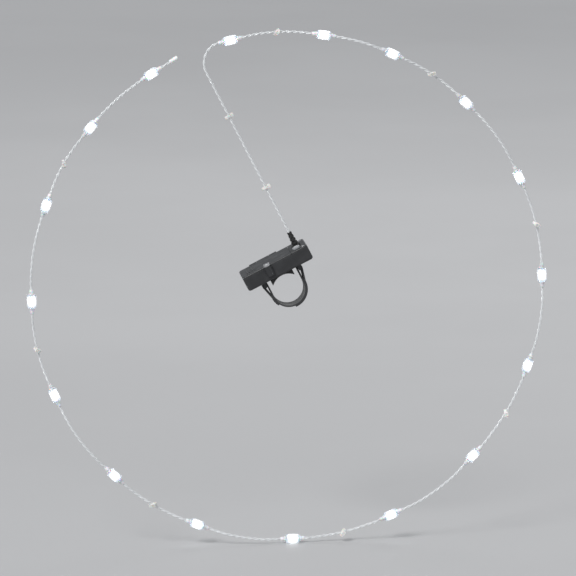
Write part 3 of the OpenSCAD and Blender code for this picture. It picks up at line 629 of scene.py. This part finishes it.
def cell_finish(name, minus_end, way):
    """A printed sleeve on a cell: a plain tube with a paler band and a plus at one end, a minus at the
    other, and bare metal on its nub and the faces at its ends. Way leads from its minus to its plus."""
    colour = (0.05, 0.11, 0.12)
    pale = (0.55, 0.57, 0.56, 1)
    bare_metal = (0.6, 0.6, 0.61, 1)
    minus = minus_end + way * CELL_BAND / 2
    plus_end = minus_end + way * CELL_CAN
    plus = plus_end - way * CELL_BAND / 2
    nub = plus_end + way * CELL_NUB / 2
    material, tree, shader = new_finish(name, colour, 0.3)
    place = object_place(tree, PACK_TURN)
    texture = use_group(tree, GRAIN, Vector=place, Grain_scale=900.0, Cloud_scale=120.0)
    cloud = texture.outputs["Cloud"]
    band = sign_bar(tree, place, plus, CELL_BAND / 2, CELL_ROW)
    minus_sign = sign_bar(tree, place, minus, SIGN_ARM, SIGN_PEN)
    plus_sign = maths(tree, "MAXIMUM", sign_bar(tree, place, plus, SIGN_ARM, SIGN_PEN),
                      sign_bar(tree, place, plus, SIGN_PEN, SIGN_ARM))
    tone = shades(tree, cloud, colour, 0.85, 1.15)
    tone = blend_colour(tree, maths(tree, "MAXIMUM", band, minus_sign), tone, pale)
    tone = blend_colour(tree, plus_sign, tone, shaded(colour, 0.6))
    normal = add_node(tree, "ShaderNodeNewGeometry").outputs["Normal"]
    end_on = maths(tree, "ABSOLUTE", likeness(tree, normal, tuple(PACK_RIGHT)))
    bare = maths(tree, "MAXIMUM", between(tree, end_on, 0.4, 0.6),
                 sign_bar(tree, place, nub, CELL_NUB / 2, CELL_ROW))
    set_inputs(tree, shader, Base_Color=blend_colour(tree, bare, tone, bare_metal), Metallic=bare,
               Roughness=spread(tree, cloud, 0.24, 0.36))
    set_bump(tree, shader, texture.outputs["Grain"], 0.1, 0.03 * MM)
    return material


def board_finish():
    """Green solder mask over copper tracks: tracks are the edges between cells of a square pattern."""
    colour = (0.02, 0.16, 0.07)
    material, tree, shader = new_finish("solder mask", colour, 0.28, Coat_Weight=0.3)
    place = object_place(tree, PACK_TURN)
    cloud = use_group(tree, GRAIN, Vector=place, Cloud_scale=200.0).outputs["Cloud"]
    cells = add_node(tree, "ShaderNodeTexVoronoi", {"feature": "F1", "distance": "CHEBYCHEV"},
                     Vector=place, Scale=420.0)
    track = between(tree, cells.outputs["Distance"], 0.36, 0.42)
    tone = shades(tree, cloud, colour, 0.85, 1.1)
    set_inputs(tree, shader, Base_Color=blend_colour(tree, track, tone, (0.05, 0.26, 0.11, 1)),
               Roughness=spread(tree, cloud, 0.22, 0.34))
    set_bump(tree, shader, track, 0.3, 0.04 * MM)
    return material


def jacket_finish():
    """Milky flexible jacket that lets a little of its strand's bright core through."""
    material, tree, shader = new_finish("milky jacket", (0.95, 0.97, 0.98), 0.08, Transmission_Weight=0.25,
                                        IOR=1.45)
    texture = use_group(tree, GRAIN, Vector=object_place(tree), Grain_scale=700.0, Cloud_scale=60.0)
    set_inputs(tree, shader, Roughness=spread(tree, texture.outputs["Cloud"], 0.05, 0.16))
    set_bump(tree, shader, texture.outputs["Grain"], 0.08, 0.05 * MM)
    return material


def core_finish():
    """Bright stranded wire: the sine of a steady climb along the core plus several turns round it, which
    gives as many slanting ridges, with painted shade in the grooves between them."""
    colour = (0.93, 0.93, 0.92)
    material, tree, shader = new_finish("bright wire", colour, 0.26, Metallic=1.0)
    marks = add_node(tree, "ShaderNodeSeparateXYZ", Vector=surface_marks(tree))
    climb = maths(tree, "MULTIPLY", marks.outputs["X"], TURN / CORE_LAY)
    around = maths(tree, "MULTIPLY", marks.outputs["Y"], CORE_RIDGES / CORE_R)
    ridge = between(tree, maths(tree, "SINE", maths(tree, "ADD", climb, around)), -1.0, 0.6)
    # Painted shade: the base colour is darker in the grooves between the ridges.
    set_inputs(tree, shader, Base_Color=shades(tree, ridge, colour, 0.6, 1.0),
               Roughness=spread(tree, ridge, 0.4, 0.22))
    set_bump(tree, shader, ridge, 0.6, 0.1 * MM)
    return material


def lens_finish():
    """Frosted lens, lit from inside: brightest in the middle of its two faces, in front of the chips, and
    cooler towards its ends and its other two sides."""
    material, tree, shader = new_finish("frosted lens", (0.93, 0.95, 0.97), 0.2, Transmission_Weight=0.9,
                                        IOR=1.49, Emission_Strength=0.45)
    marks = add_node(tree, "ShaderNodeSeparateXYZ", Vector=surface_marks(tree))
    off_middle = maths(tree, "ABSOLUTE", maths(tree, "SUBTRACT", marks.outputs["Y"], 0.5))
    turn = maths(tree, "MULTIPLY", marks.outputs["X"], TURN)
    facing = maths(tree, "ABSOLUTE", maths(tree, "SINE", turn))
    light = maths(tree, "MULTIPLY", between(tree, off_middle, 0.1, 0.46, 1.0, 0.0),
                  between(tree, facing, 0.0, 0.9, 0.3, 1.0))
    texture = use_group(tree, GRAIN, Vector=object_place(tree), Grain_scale=1500.0, Cloud_scale=300.0)
    set_inputs(tree, shader, Roughness=spread(tree, texture.outputs["Cloud"], 0.14, 0.26),
               Emission_Color=blend_colour(tree, light, (0.1, 0.13, 0.17, 1), (1.0, 1.0, 1.0, 1)))
    set_bump(tree, shader, texture.outputs["Grain"], 0.2, 0.05 * MM)
    return material


def led_finish():
    """Lit phosphor, whose light varies a little in fine clouds."""
    material, tree, shader = new_finish("lit phosphor", (0.95, 0.93, 0.8), 0.4, Emission_Strength=9.0)
    texture = use_group(tree, GRAIN, Vector=object_place(tree), Grain_scale=6000.0, Cloud_scale=900.0)
    glow = blend_colour(tree, texture.outputs["Cloud"], (0.9, 0.95, 1.0, 1), (1.0, 1.0, 1.0, 1))
    set_inputs(tree, shader, Emission_Color=glow,
               Roughness=spread(tree, texture.outputs["Grain"], 0.35, 0.5))
    return material


def webbing_finish():
    """Woven webbing: plain-weave threads with painted highlights on their ridges, painted shade between
    them, faded in clouds.
    """
    colour = (0.025, 0.026, 0.028)
    material, tree, shader = new_finish("strap webbing", colour, 0.85, Sheen_Weight=0.3, Sheen_Roughness=0.5)
    threads = use_group(tree, WEAVE, Vector=surface_marks(tree), Thread=0.7 * MM)
    height = threads.outputs["Height"]
    texture = use_group(tree, GRAIN, Vector=object_place(tree), Grain_scale=3500.0, Cloud_scale=140.0)
    # Painted light: the weave's height times fine grain, which lightens the threads' ridges and darkens the
    # gaps between them.
    painted_thread_light = maths(tree, "MULTIPLY", height, texture.outputs["Grain"])
    faded = maths(tree, "MULTIPLY", texture.outputs["Cloud"], 0.4)
    # Painted highlight and shade from the weave's height, lightened at random where the webbing is faded.
    tone = blend_colour(tree, faded, shades(tree, painted_thread_light, colour, 0.5, 2.4), shaded(colour, 1.8))
    set_inputs(tree, shader, Base_Color=tone, Roughness=spread(tree, threads.outputs["Over"], 0.75, 0.92))
    set_bump(tree, shader, height, 0.8, 0.25 * MM)
    return material


def thread_finish():
    """Twisted sewing thread: fine lines on the slant across the stitches."""
    colour = (0.09, 0.092, 0.096)
    slant = (0.4, 0.7, 0.3)
    material, tree, shader = new_finish("stitch thread", colour, 0.7, Sheen_Weight=0.4)
    lines = use_group(tree, LINES, Vector=object_place(tree, slant), Scale=6000.0).outputs["Lines"]
    set_inputs(tree, shader, Base_Color=shades(tree, lines, colour, 0.5, 1.6),
               Roughness=between(tree, lines, 0.3, 0.7, 0.6, 0.8))
    set_bump(tree, shader, lines, 0.5, 0.08 * MM)
    return material


NODE_FINISHES = {
    CASE_PLASTIC: ["pack_base", "pack_cover", "board_cover"],
    SOFT_RUBBER: ["cover_seal", "cable_gland"],
    PLATED_STEEL: ["hinge_pin", "cover_screw", "board_cover_screws", "contact_plates"],
    BRASS: ["screw_insert"],
    cell_finish("cell jacket", CELL_MINUS, 1): ["cell_front", "cell_rear"],
    cell_finish("turned cell jacket", TURNED_CELL_MINUS, -1): ["cell_middle"],
    board_finish(): ["circuit_board"],
    PART_EPOXY: ["control_chip", "resistors", "tact_switch"],
    PLUNGER_PLASTIC: ["switch_plunger"],
    BUTTON_RUBBER: ["push_button"],
    SLEEVE_PLASTIC: ["cable_sleeves", "string_end_cap"],
    LED_BOARD: ["led_boards"],
    led_finish(): ["led_chips"],
}
for node_finish, node_names in NODE_FINISHES.items():
    for node_name in node_names:
        shown = frame["nodes"][node_name].data
        shown.materials.clear()
        shown.materials.append(node_finish)


# Cable, of two strands with bright cores, twisted round each other

def bulb_mouth(angle, side):
    """The end of a bulb's sleeve, where the cable goes in."""
    return RING_R * outward(angle) + side * BULB_REACH * clockwise(angle)


def span_ends(index):
    """The end points and handles of the cable between one bulb and the next."""
    first, second = BULB_ANGLES[index], BULB_ANGLES[index + 1]
    start = bulb_mouth(first, 1)
    end = bulb_mouth(second, -1)
    reach = np.linalg.norm(end - start) * SPAN_HANDLE
    return np.array([start, start + reach * clockwise(first), end - reach * clockwise(second), end])


def span_side(index):
    """Side of the ring's middle plane on which a span lies."""
    return 1 if index % 2 == 0 else -1


def span_path(index):
    """A cubic curve between two bulbs, lifted off the middle plane by a smooth step at each end."""
    share = np.linspace(0, 1, num=90)
    path = cubic(span_ends(index), share)
    lift = smooth_step(share / LIFT_SHARE) * smooth_step((1 - share) / LIFT_SHARE)
    path[:, 1] += span_side(index) * LACE_OFFSET * lift
    return even_points(path, CABLE_STEP)


def tail_path():
    """The straight end of the cable past the last bulb."""
    start = bulb_mouth(BULB_ANGLES[-1], 1)
    return even_points(np.array([start, start + TAIL_L * clockwise(BULB_ANGLES[-1])]), CABLE_STEP)


def lead_path():
    """Straight up from the circuit board, then a cubic curve into the first bulb's sleeve."""
    end = bulb_mouth(BULB_ANGLES[0], -1)
    start = in_pack(LEAD_ACROSS, LEAD_START)
    turn = in_pack(LEAD_ACROSS, end @ PACK_UP - LEAD_BEND)
    handle = LEAD_BEND * LEAD_EASE
    ends = np.array([turn, turn + handle * PACK_UP, end - handle * clockwise(BULB_ANGLES[0]), end])
    bend = cubic(ends, np.linspace(0, 1, num=40))
    return even_points(np.concatenate([[start], bend]), CABLE_STEP)


def strand_path(path, phase):
    """One strand's line: the cable's line plus a small circle across it that turns once in every pitch."""
    across, up = square_to(path)
    turn = (TURN * run_length(path) / TWIST_PITCH + phase)[:, None]
    return path + (CABLE_R - STRAND_R) * (np.cos(turn) * across + np.sin(turn) * up)


def twisted_cable(name, paths):
    """Jackets and cores of both strands along each path, in place of the solid cable of that name."""
    strands = [strand_path(path, phase) for path in paths for phase in (0, HALF_TURN)]
    cores = [tube(strand, CORE_R, sides=8) for strand in strands]
    make_piece(name + "_cores", cores, CORE_WIRE)
    jackets = [tube(strand, STRAND_R, sides=12) for strand in strands]
    make_piece(name + "_jackets", jackets, CABLE_JACKET, name + "_cable")


CORE_WIRE = core_finish()
CABLE_JACKET = jacket_finish()
twisted_cable("string", [span_path(span) for span in range(len(BULB_ANGLES) - 1)] + [tail_path()])
twisted_cable("lead", [lead_path()])


# Bulbs

def lens_profile():
    """Outline of a lens's wall as radius and height: out along one end, round its corner, along the
    barrel, back in, and then the same way inside."""
    top = LENS_L / 2
    outer_r = LENS_R - LENS_ROUND
    barrel = top - LENS_ROUND
    inner = top - LENS_WALL
    inner_r = LENS_R - LENS_WALL - LENS_INNER_ROUND
    inner_barrel = inner - LENS_INNER_ROUND
    return np.concatenate([
        [(LENS_BORE_R, -top)],
        arc((outer_r, -barrel), LENS_ROUND, -QUARTER_TURN, 0, steps=7),
        np.linspace((LENS_R, -barrel), (LENS_R, barrel), num=9)[1:-1],
        arc((outer_r, barrel), LENS_ROUND, 0, QUARTER_TURN, steps=7),
        [(LENS_BORE_R, top), (LENS_BORE_R, inner)],
        arc((inner_r, inner_barrel), LENS_INNER_ROUND, QUARTER_TURN, 0, steps=4),
        arc((inner_r, -inner_barrel), LENS_INNER_ROUND, 0, -QUARTER_TURN, steps=4),
        [(LENS_BORE_R, -inner)],
    ])


def lens_part(angle):
    """The lens's profile turned about the ring's direction at that angle."""
    profile = lens_profile()
    marks = 0.5 + profile[:, 1] / LENS_L
    return turned(profile, clockwise(angle), RING_R * outward(angle), sides=40, marks=marks)


make_piece("frosted_lenses", [lens_part(angle) for angle in BULB_ANGLES], lens_finish(),
           "bulb_lenses", sharp=60)


# Ties

TIE_OUTLINE = rounded_outline(TIE_T, TIE_W, TIE_EDGE, steps=4)


def looped_band(loop, origin, directions):
    """A tie's strap carried round a closed flat loop, with its width along the third direction."""
    way = unit(np.roll(loop, -1, axis=0) - np.roll(loop, 1, axis=0))
    path = origin + loop @ np.array(directions[:2])
    across = np.stack([way[:, 1], -way[:, 0]], -1) @ np.array(directions[:2])
    width = np.broadcast_to(directions[2], path.shape)
    return swept(path, across, width, TIE_OUTLINE, closed=True)


def ridged_tail(origin, directions):
    """The strap from the middle of the head to its cut end: a rounded strip along the first direction, whose
    face in the second sinks and rises as a saw between its rails."""
    reach = np.linspace(0, TIE_HEAD[0] / 2 + TIE_STUB, num=25)
    saw = reach / RIDGE_PITCH % 1
    on_face = np.isclose(TIE_OUTLINE[:, 0], TIE_T / 2)
    thick = TIE_OUTLINE[:, 0] - RIDGE_DEPTH * saw[:, None] * on_face
    along = np.broadcast_to(reach[:, None], thick.shape)
    local = np.stack([along, thick, np.broadcast_to(TIE_OUTLINE[:, 1], thick.shape)], -1)
    points = pinched(origin + local @ np.array(directions))
    return grid_part(points, with_ends(reach), outline_marks(TIE_OUTLINE))


def headed_tie(loop, loop_middle, loop_directions, head, along, out):
    """A tie's loop and its head, whose face in the direction out has a window with a slanting pawl in it.
    The tail leaves the head in the direction along, with its ridges on the window's side."""
    width = np.cross(along, out)
    slant = unit(along - PAWL_SLANT * out)
    pawl = head + (TIE_HEAD[1] / 2 - PAWL_SINK) * out
    return [
        looped_band(loop, loop_middle, loop_directions),
        rounded_block(TIE_HEAD, TIE_HEAD_EDGE, head, [along, out, width], TIE_WINDOW),
        rounded_block(PAWL_SIZE, PAWL_EDGE, pawl, [slant, np.cross(width, slant), width]),
        ridged_tail(head, [along, out, width]),
    ]


def ring_tie_parts(index):
    """A tie on the ring: a rounded loop on the slant across the cable and its rod, with its head on the
    rod's side."""
    before, middle, after = cubic(span_ends(index), TIE_SHARE + TIE_NEAR * np.array([-1, 0, 1]))
    way = unit(after - before)
    out = np.cross(way, RING_AXIS)
    side = span_side(index) * RING_AXIS
    slant = unit(way + out)
    loop = rounded_outline(2 * TIE_HALF + TIE_T, TIE_HIGH - TIE_LOW + TIE_T, TIE_ROUND + TIE_T / 2, steps=8)
    loop_middle = middle + (TIE_LOW + TIE_HIGH) / 2 * side
    head = middle + (TIE_LOW - TIE_T / 2 - TIE_HEAD[1] / 2) * side
    return headed_tie(loop, loop_middle, [slant, side, unit(out - way)], head, slant, -side)


def lead_tie_parts(height):
    """A tie on the lead: two half circles round the cable and its rod, joined by straight runs, with its
    head beside the cable."""
    cable_side = CABLE_R + TIE_CLEAR + TIE_T / 2
    rod_side = ROD_R + TIE_T / 2
    loop = np.concatenate([
        arc((0, 0), cable_side, -QUARTER_TURN, QUARTER_TURN, steps=14),
        arc((-LACE_OFFSET, 0), rod_side, QUARTER_TURN, 3 * QUARTER_TURN, steps=12),
    ])
    middle = in_pack(LEAD_ACROSS, height)
    head = middle + (cable_side + TIE_HEAD[1] / 2) * PACK_RIGHT
    return headed_tie(loop, middle, [PACK_RIGHT, RING_AXIS, PACK_UP], head, RING_AXIS, PACK_RIGHT)


ring_ties = [part for span in range(0, len(BULB_ANGLES) - 1, TIE_STEP) for part in ring_tie_parts(span)]
make_piece("ring_tie_straps", ring_ties, TIE_NYLON, "spoke_ties")
lead_ties = [part for height in LEAD_TIE_HEIGHTS for part in lead_tie_parts(height)]
make_piece("lead_tie_straps", lead_ties, TIE_NYLON, "lead_ties")


# Mark on the button

def button_bead(flat):
    """A low bead on the button's top: a rounded rectangle carried along a flat line there."""
    centre = in_pack(BUTTON_ACROSS, BUTTON_TOP) - BUTTON_FORWARD * RING_AXIS
    path = centre + flat[:, :1] * PACK_RIGHT + flat[:, 1:] * RING_AXIS
    up = np.broadcast_to(PACK_UP, path.shape)
    across = np.cross(unit(np.gradient(path, axis=0)), up)
    return swept(path, across, up, rounded_outline(*MARK_SECTION, MARK_EDGE, steps=4))


def button_mark_parts():
    """The usual sign for a power button: most of a circle, and a bar through its gap."""
    start = QUARTER_TURN + MARK_GAP
    end = QUARTER_TURN + TURN - MARK_GAP
    circle = arc((0, 0), MARK_R, start, end, steps=48)
    bar = np.linspace((0, MARK_BAR[0]), (0, MARK_BAR[1]), num=8)
    return [button_bead(circle), button_bead(bar)]


make_piece("button_mark", button_mark_parts(), MARK_RUBBER, body="button")


# Contact springs

def spring_part(base, row, way):
    """A wire wound on a cone: its radius shrinks evenly over the turns, and its reach along the cell climbs
    evenly between a flat stretch at each end."""
    steps_per_turn = 36
    share = np.linspace(0, 1, steps_per_turn * SPRING_TURNS + 1)
    turn = (TURN * SPRING_TURNS * share)[:, None]
    climb = np.clip((share - SPRING_END) / (1 - 2 * SPRING_END), 0, 1)
    first = SPRING_WIRE_R + SPRING_CLEAR
    reach = base + way * (first + (SPRING_L - 2 * first) * climb)
    radius = (SPRING_BASE_R + (SPRING_TIP_R - SPRING_BASE_R) * share)[:, None]
    out = way * np.cos(turn) * RING_AXIS + np.sin(turn) * PACK_UP
    path = in_pack(reach, CELL_HEIGHT) + row * CELL_ROW * RING_AXIS + radius * out
    along = unit(np.gradient(path, axis=0))
    up = unit(np.cross(along, out))
    return swept(path, np.cross(up, along), up, circle_outline(SPRING_WIRE_R, sides=10))


make_piece("wound_springs", [spring_part(*base) for base in SPRING_BASES], PLATED_STEEL,
           "contact_springs")


# Return wire

def return_path():
    """Straight along the bay's floor, then a quarter arc up to the circuit board."""
    centre = (RETURN_END - RETURN_BEND, RETURN_HEIGHT + RETURN_BEND)
    bend = arc(centre, RETURN_BEND, -QUARTER_TURN, 0, steps=12)
    flat = np.concatenate([[(RETURN_START, RETURN_HEIGHT)], bend, [(RETURN_END, RETURN_TOP)]])
    return in_pack(*flat.T) - RETURN_FORWARD * RING_AXIS


make_piece("bent_return_wire", [tube(return_path(), RETURN_R, sides=20)], WIRE_SHEATH,
           "return_wire")


# Strap and pad

def strap_path():
    """The strap's middle line in the pack's plane: the sewn end, over one bar, down and round the barrel,
    up and over the other bar, and back down onto itself."""
    wrap = BARREL_R + STRAP_T / 2
    fold = BARREL_R + 1.5 * STRAP_T - STRAP_PRESS
    flat = np.concatenate([
        arc((0, 0), fold, HALF_TURN + STRAP_SEWN, HALF_TURN, steps=16),
        arc((-BAR_ACROSS, BAR_UP), WRAP_R, HALF_TURN, 0, steps=16),
        arc((0, 0), wrap, HALF_TURN, TURN, steps=60),
        arc((BAR_ACROSS, BAR_UP), WRAP_R, HALF_TURN, 0, steps=16),
        arc((0, 0), fold, 0, -STRAP_TAIL, steps=40),
    ])
    return even_points(flat, STRAP_STEP)


def strap_directions(flat):
    """A direction square to the strap's face at each point of its middle line."""
    way = unit(np.gradient(flat, axis=0))
    return in_pack(way[:, 1], -way[:, 0])


def strap_part():
    """A rounded rectangle carried along the strap's middle line, its width along the ring's axis."""
    flat = strap_path()
    path = in_pack(*flat.T)
    width = np.broadcast_to(RING_AXIS, path.shape)
    return swept(path, strap_directions(flat), width, rounded_outline(STRAP_T, STRAP_W, STRAP_EDGE))


def stitch(centre, way, up):
    """One stitch, half sunk in the strap: circles set along its length, whose sizes follow an ellipse and
    come down to a point at both ends."""
    lengths = np.linspace(-1, 1, num=7)
    girth = np.sqrt(1 - lengths**2)
    circle = circle_outline(STITCH_R, sides=8)
    across = np.cross(way, up)
    points = centre + (STITCH_HALF * lengths)[:, None, None] * way
    points = points + girth[:, None, None] * (circle[None, :, :1] * across + circle[None, :, 1:] * up)
    return grid_part(points, lengths, outline_marks(circle))


def stitch_parts():
    """Two rows along the sewn end and two across it, on the strap's outer face."""
    flat = strap_path()
    path = in_pack(*flat.T)
    out = -strap_directions(flat)
    run = run_length(path)

    def sewn(along, aside, crosswise):
        """A stitch at a distance along the strap and one aside from its middle."""
        near = np.searchsorted(run, along)
        way = RING_AXIS if crosswise else unit(path[near + 1] - path[near])
        return stitch(path[near] + out[near] * STRAP_T / 2 + aside * RING_AXIS, way, out[near])

    places_along = STITCH_START + STITCH_STEP * np.arange(STITCHES_ALONG)
    places_across = STITCH_STEP * (np.arange(STITCHES_ACROSS) - (STITCHES_ACROSS - 1) / 2)
    lengthwise = [sewn(along, side * STITCH_ASIDE, crosswise=False)
                  for along in places_along for side in (-1, 1)]
    return lengthwise + [sewn(along, aside, crosswise=True)
                         for along in STITCH_ROWS for aside in places_across]


def pad_part():
    """A saddle of rubber: rounded rectangles set along its length, each as wide as the strap and as high as
    the space between the barrel and the pack there, drawn in at both ends. Fine grooves grip the barrel."""
    steps = 5
    ease = np.linspace(0, QUARTER_TURN, steps)
    end = PAD_L / 2 - PAD_EDGE * (1 - np.sin(ease))
    middle = np.linspace(-1, 1, num=121)[1:-1] * (PAD_L / 2 - PAD_EDGE)
    across = np.concatenate([-end[::-1], middle, end])
    end_draw = PAD_EDGE * (1 - np.cos(ease))
    draw_in = np.concatenate([end_draw[::-1], np.zeros(len(middle)), end_draw])
    groove = PAD_GROOVE * np.maximum(0, np.sin(TURN * across / PAD_GROOVE_STEP))
    seat = np.sqrt(BARREL_R**2 - across**2) + groove
    half = np.stack([np.full_like(across, STRAP_W), PAD_TOP - seat], -1) / 2 - draw_in[:, None]
    corners = np.repeat([(1, 1), (-1, 1), (-1, -1), (1, -1)], steps, axis=0)
    bend = rounded_outline(2 * PAD_EDGE, 2 * PAD_EDGE, PAD_EDGE, steps)
    flat = corners * (half[:, None] - PAD_EDGE) + bend
    level = (seat + PAD_TOP)[:, None] / 2 + flat[..., 1]
    points = across[:, None, None] * PACK_RIGHT + flat[..., :1] * RING_AXIS + level[..., None] * PACK_UP
    return grid_part(pinched(points), with_ends(across), outline_marks(flat[0]))


make_piece("webbing_strap", [strap_part()], webbing_finish(), "hub_strap")
make_piece("strap_stitching", stitch_parts(), thread_finish())
make_piece("rubber_saddle", [pad_part()], SOFT_RUBBER, "hub_pad")


# Floor, light and camera

FLOOR_HEIGHT = cad_box[0].z
FLOOR_SIZE = 30.0
SUN_SPREAD = math.radians(25)
VIEW_SIDE = math.radians(-6)
VIEW_RISE = math.radians(10)
VIEW_DISTANCE = 5.0
VIEW_WIDTH = 0.57


def floor_finish():
    """Plain pale floor with a faint cloud of tone."""
    colour = (0.48, 0.48, 0.485)
    material, tree, shader = new_finish("pale floor", colour, 0.7)
    cloud = use_group(tree, GRAIN, Vector=object_place(tree), Cloud_scale=1.5).outputs["Cloud"]
    set_inputs(tree, shader, Base_Color=shades(tree, cloud, colour, 0.98, 1.02))
    return material


def add_floor():
    """A flat sheet well past the edges of the view."""
    corners = np.array([(-1, -1, 0), (1, -1, 0), (1, 1, 0), (-1, 1, 0)]) * FLOOR_SIZE / 2
    mesh = bpy.data.meshes.new("floor")
    mesh.from_pydata(corners + np.array([0, 0, FLOOR_HEIGHT]), [], [(0, 1, 2, 3)])
    mesh.materials.append(floor_finish())
    floor = bpy.data.objects.new("floor", mesh)
    bpy.context.scene.collection.objects.link(floor)


def aim_at_ring(holder, place):
    """Puts a lamp or camera at a place, turned towards the middle of the ring."""
    holder.location = place
    holder.rotation_euler = (-Vector(place)).to_track_quat("-Z", "Y").to_euler()
    bpy.context.scene.collection.objects.link(holder)


def add_softbox(name, place, size, power):
    """A square lamp that lights the ring from one side."""
    lamp = bpy.data.lights.new(name, "AREA")
    lamp.size = size
    lamp.energy = power
    aim_at_ring(bpy.data.objects.new(name, lamp), place)


def add_sun(place, strength):
    """Broad even light from a far, wide lamp."""
    lamp = bpy.data.lights.new("sun lamp", "SUN")
    lamp.angle = SUN_SPREAD
    lamp.energy = strength
    aim_at_ring(bpy.data.objects.new("sun lamp", lamp), place)


def add_camera():
    """A long lens at the photograph's angle, aimed at the middle of the ring."""
    camera = bpy.data.cameras.new("camera")
    camera.lens = camera.sensor_width * VIEW_DISTANCE / VIEW_WIDTH
    holder = bpy.data.objects.new("camera", camera)
    level = VIEW_DISTANCE * math.cos(VIEW_RISE)
    height = VIEW_DISTANCE * math.sin(VIEW_RISE)
    aim_at_ring(holder, (level * math.sin(VIEW_SIDE), -level * math.cos(VIEW_SIDE), height))
    bpy.context.scene.camera = holder


def set_world():
    """Even and slightly cool light from all round."""
    world = bpy.data.worlds.new("studio")
    world.use_nodes = True
    background = world.node_tree.nodes["Background"]
    set_inputs(world.node_tree, background, Color=(0.93, 0.96, 1.0, 1), Strength=0.4)
    bpy.context.scene.world = world


add_floor()
add_sun(place=(-2.0, -2.6, 3.0), strength=2.0)
add_softbox("key lamp", place=(-1.8, -2.4, 2.6), size=1.8, power=16)
add_softbox("fill lamp", place=(2.4, -2.0, 1.2), size=2.0, power=8)
add_softbox("rim lamp", place=(0.8, 2.2, 2.0), size=1.5, power=16)
add_camera()
set_world()
bpy.context.scene.view_settings.view_transform = "Standard"
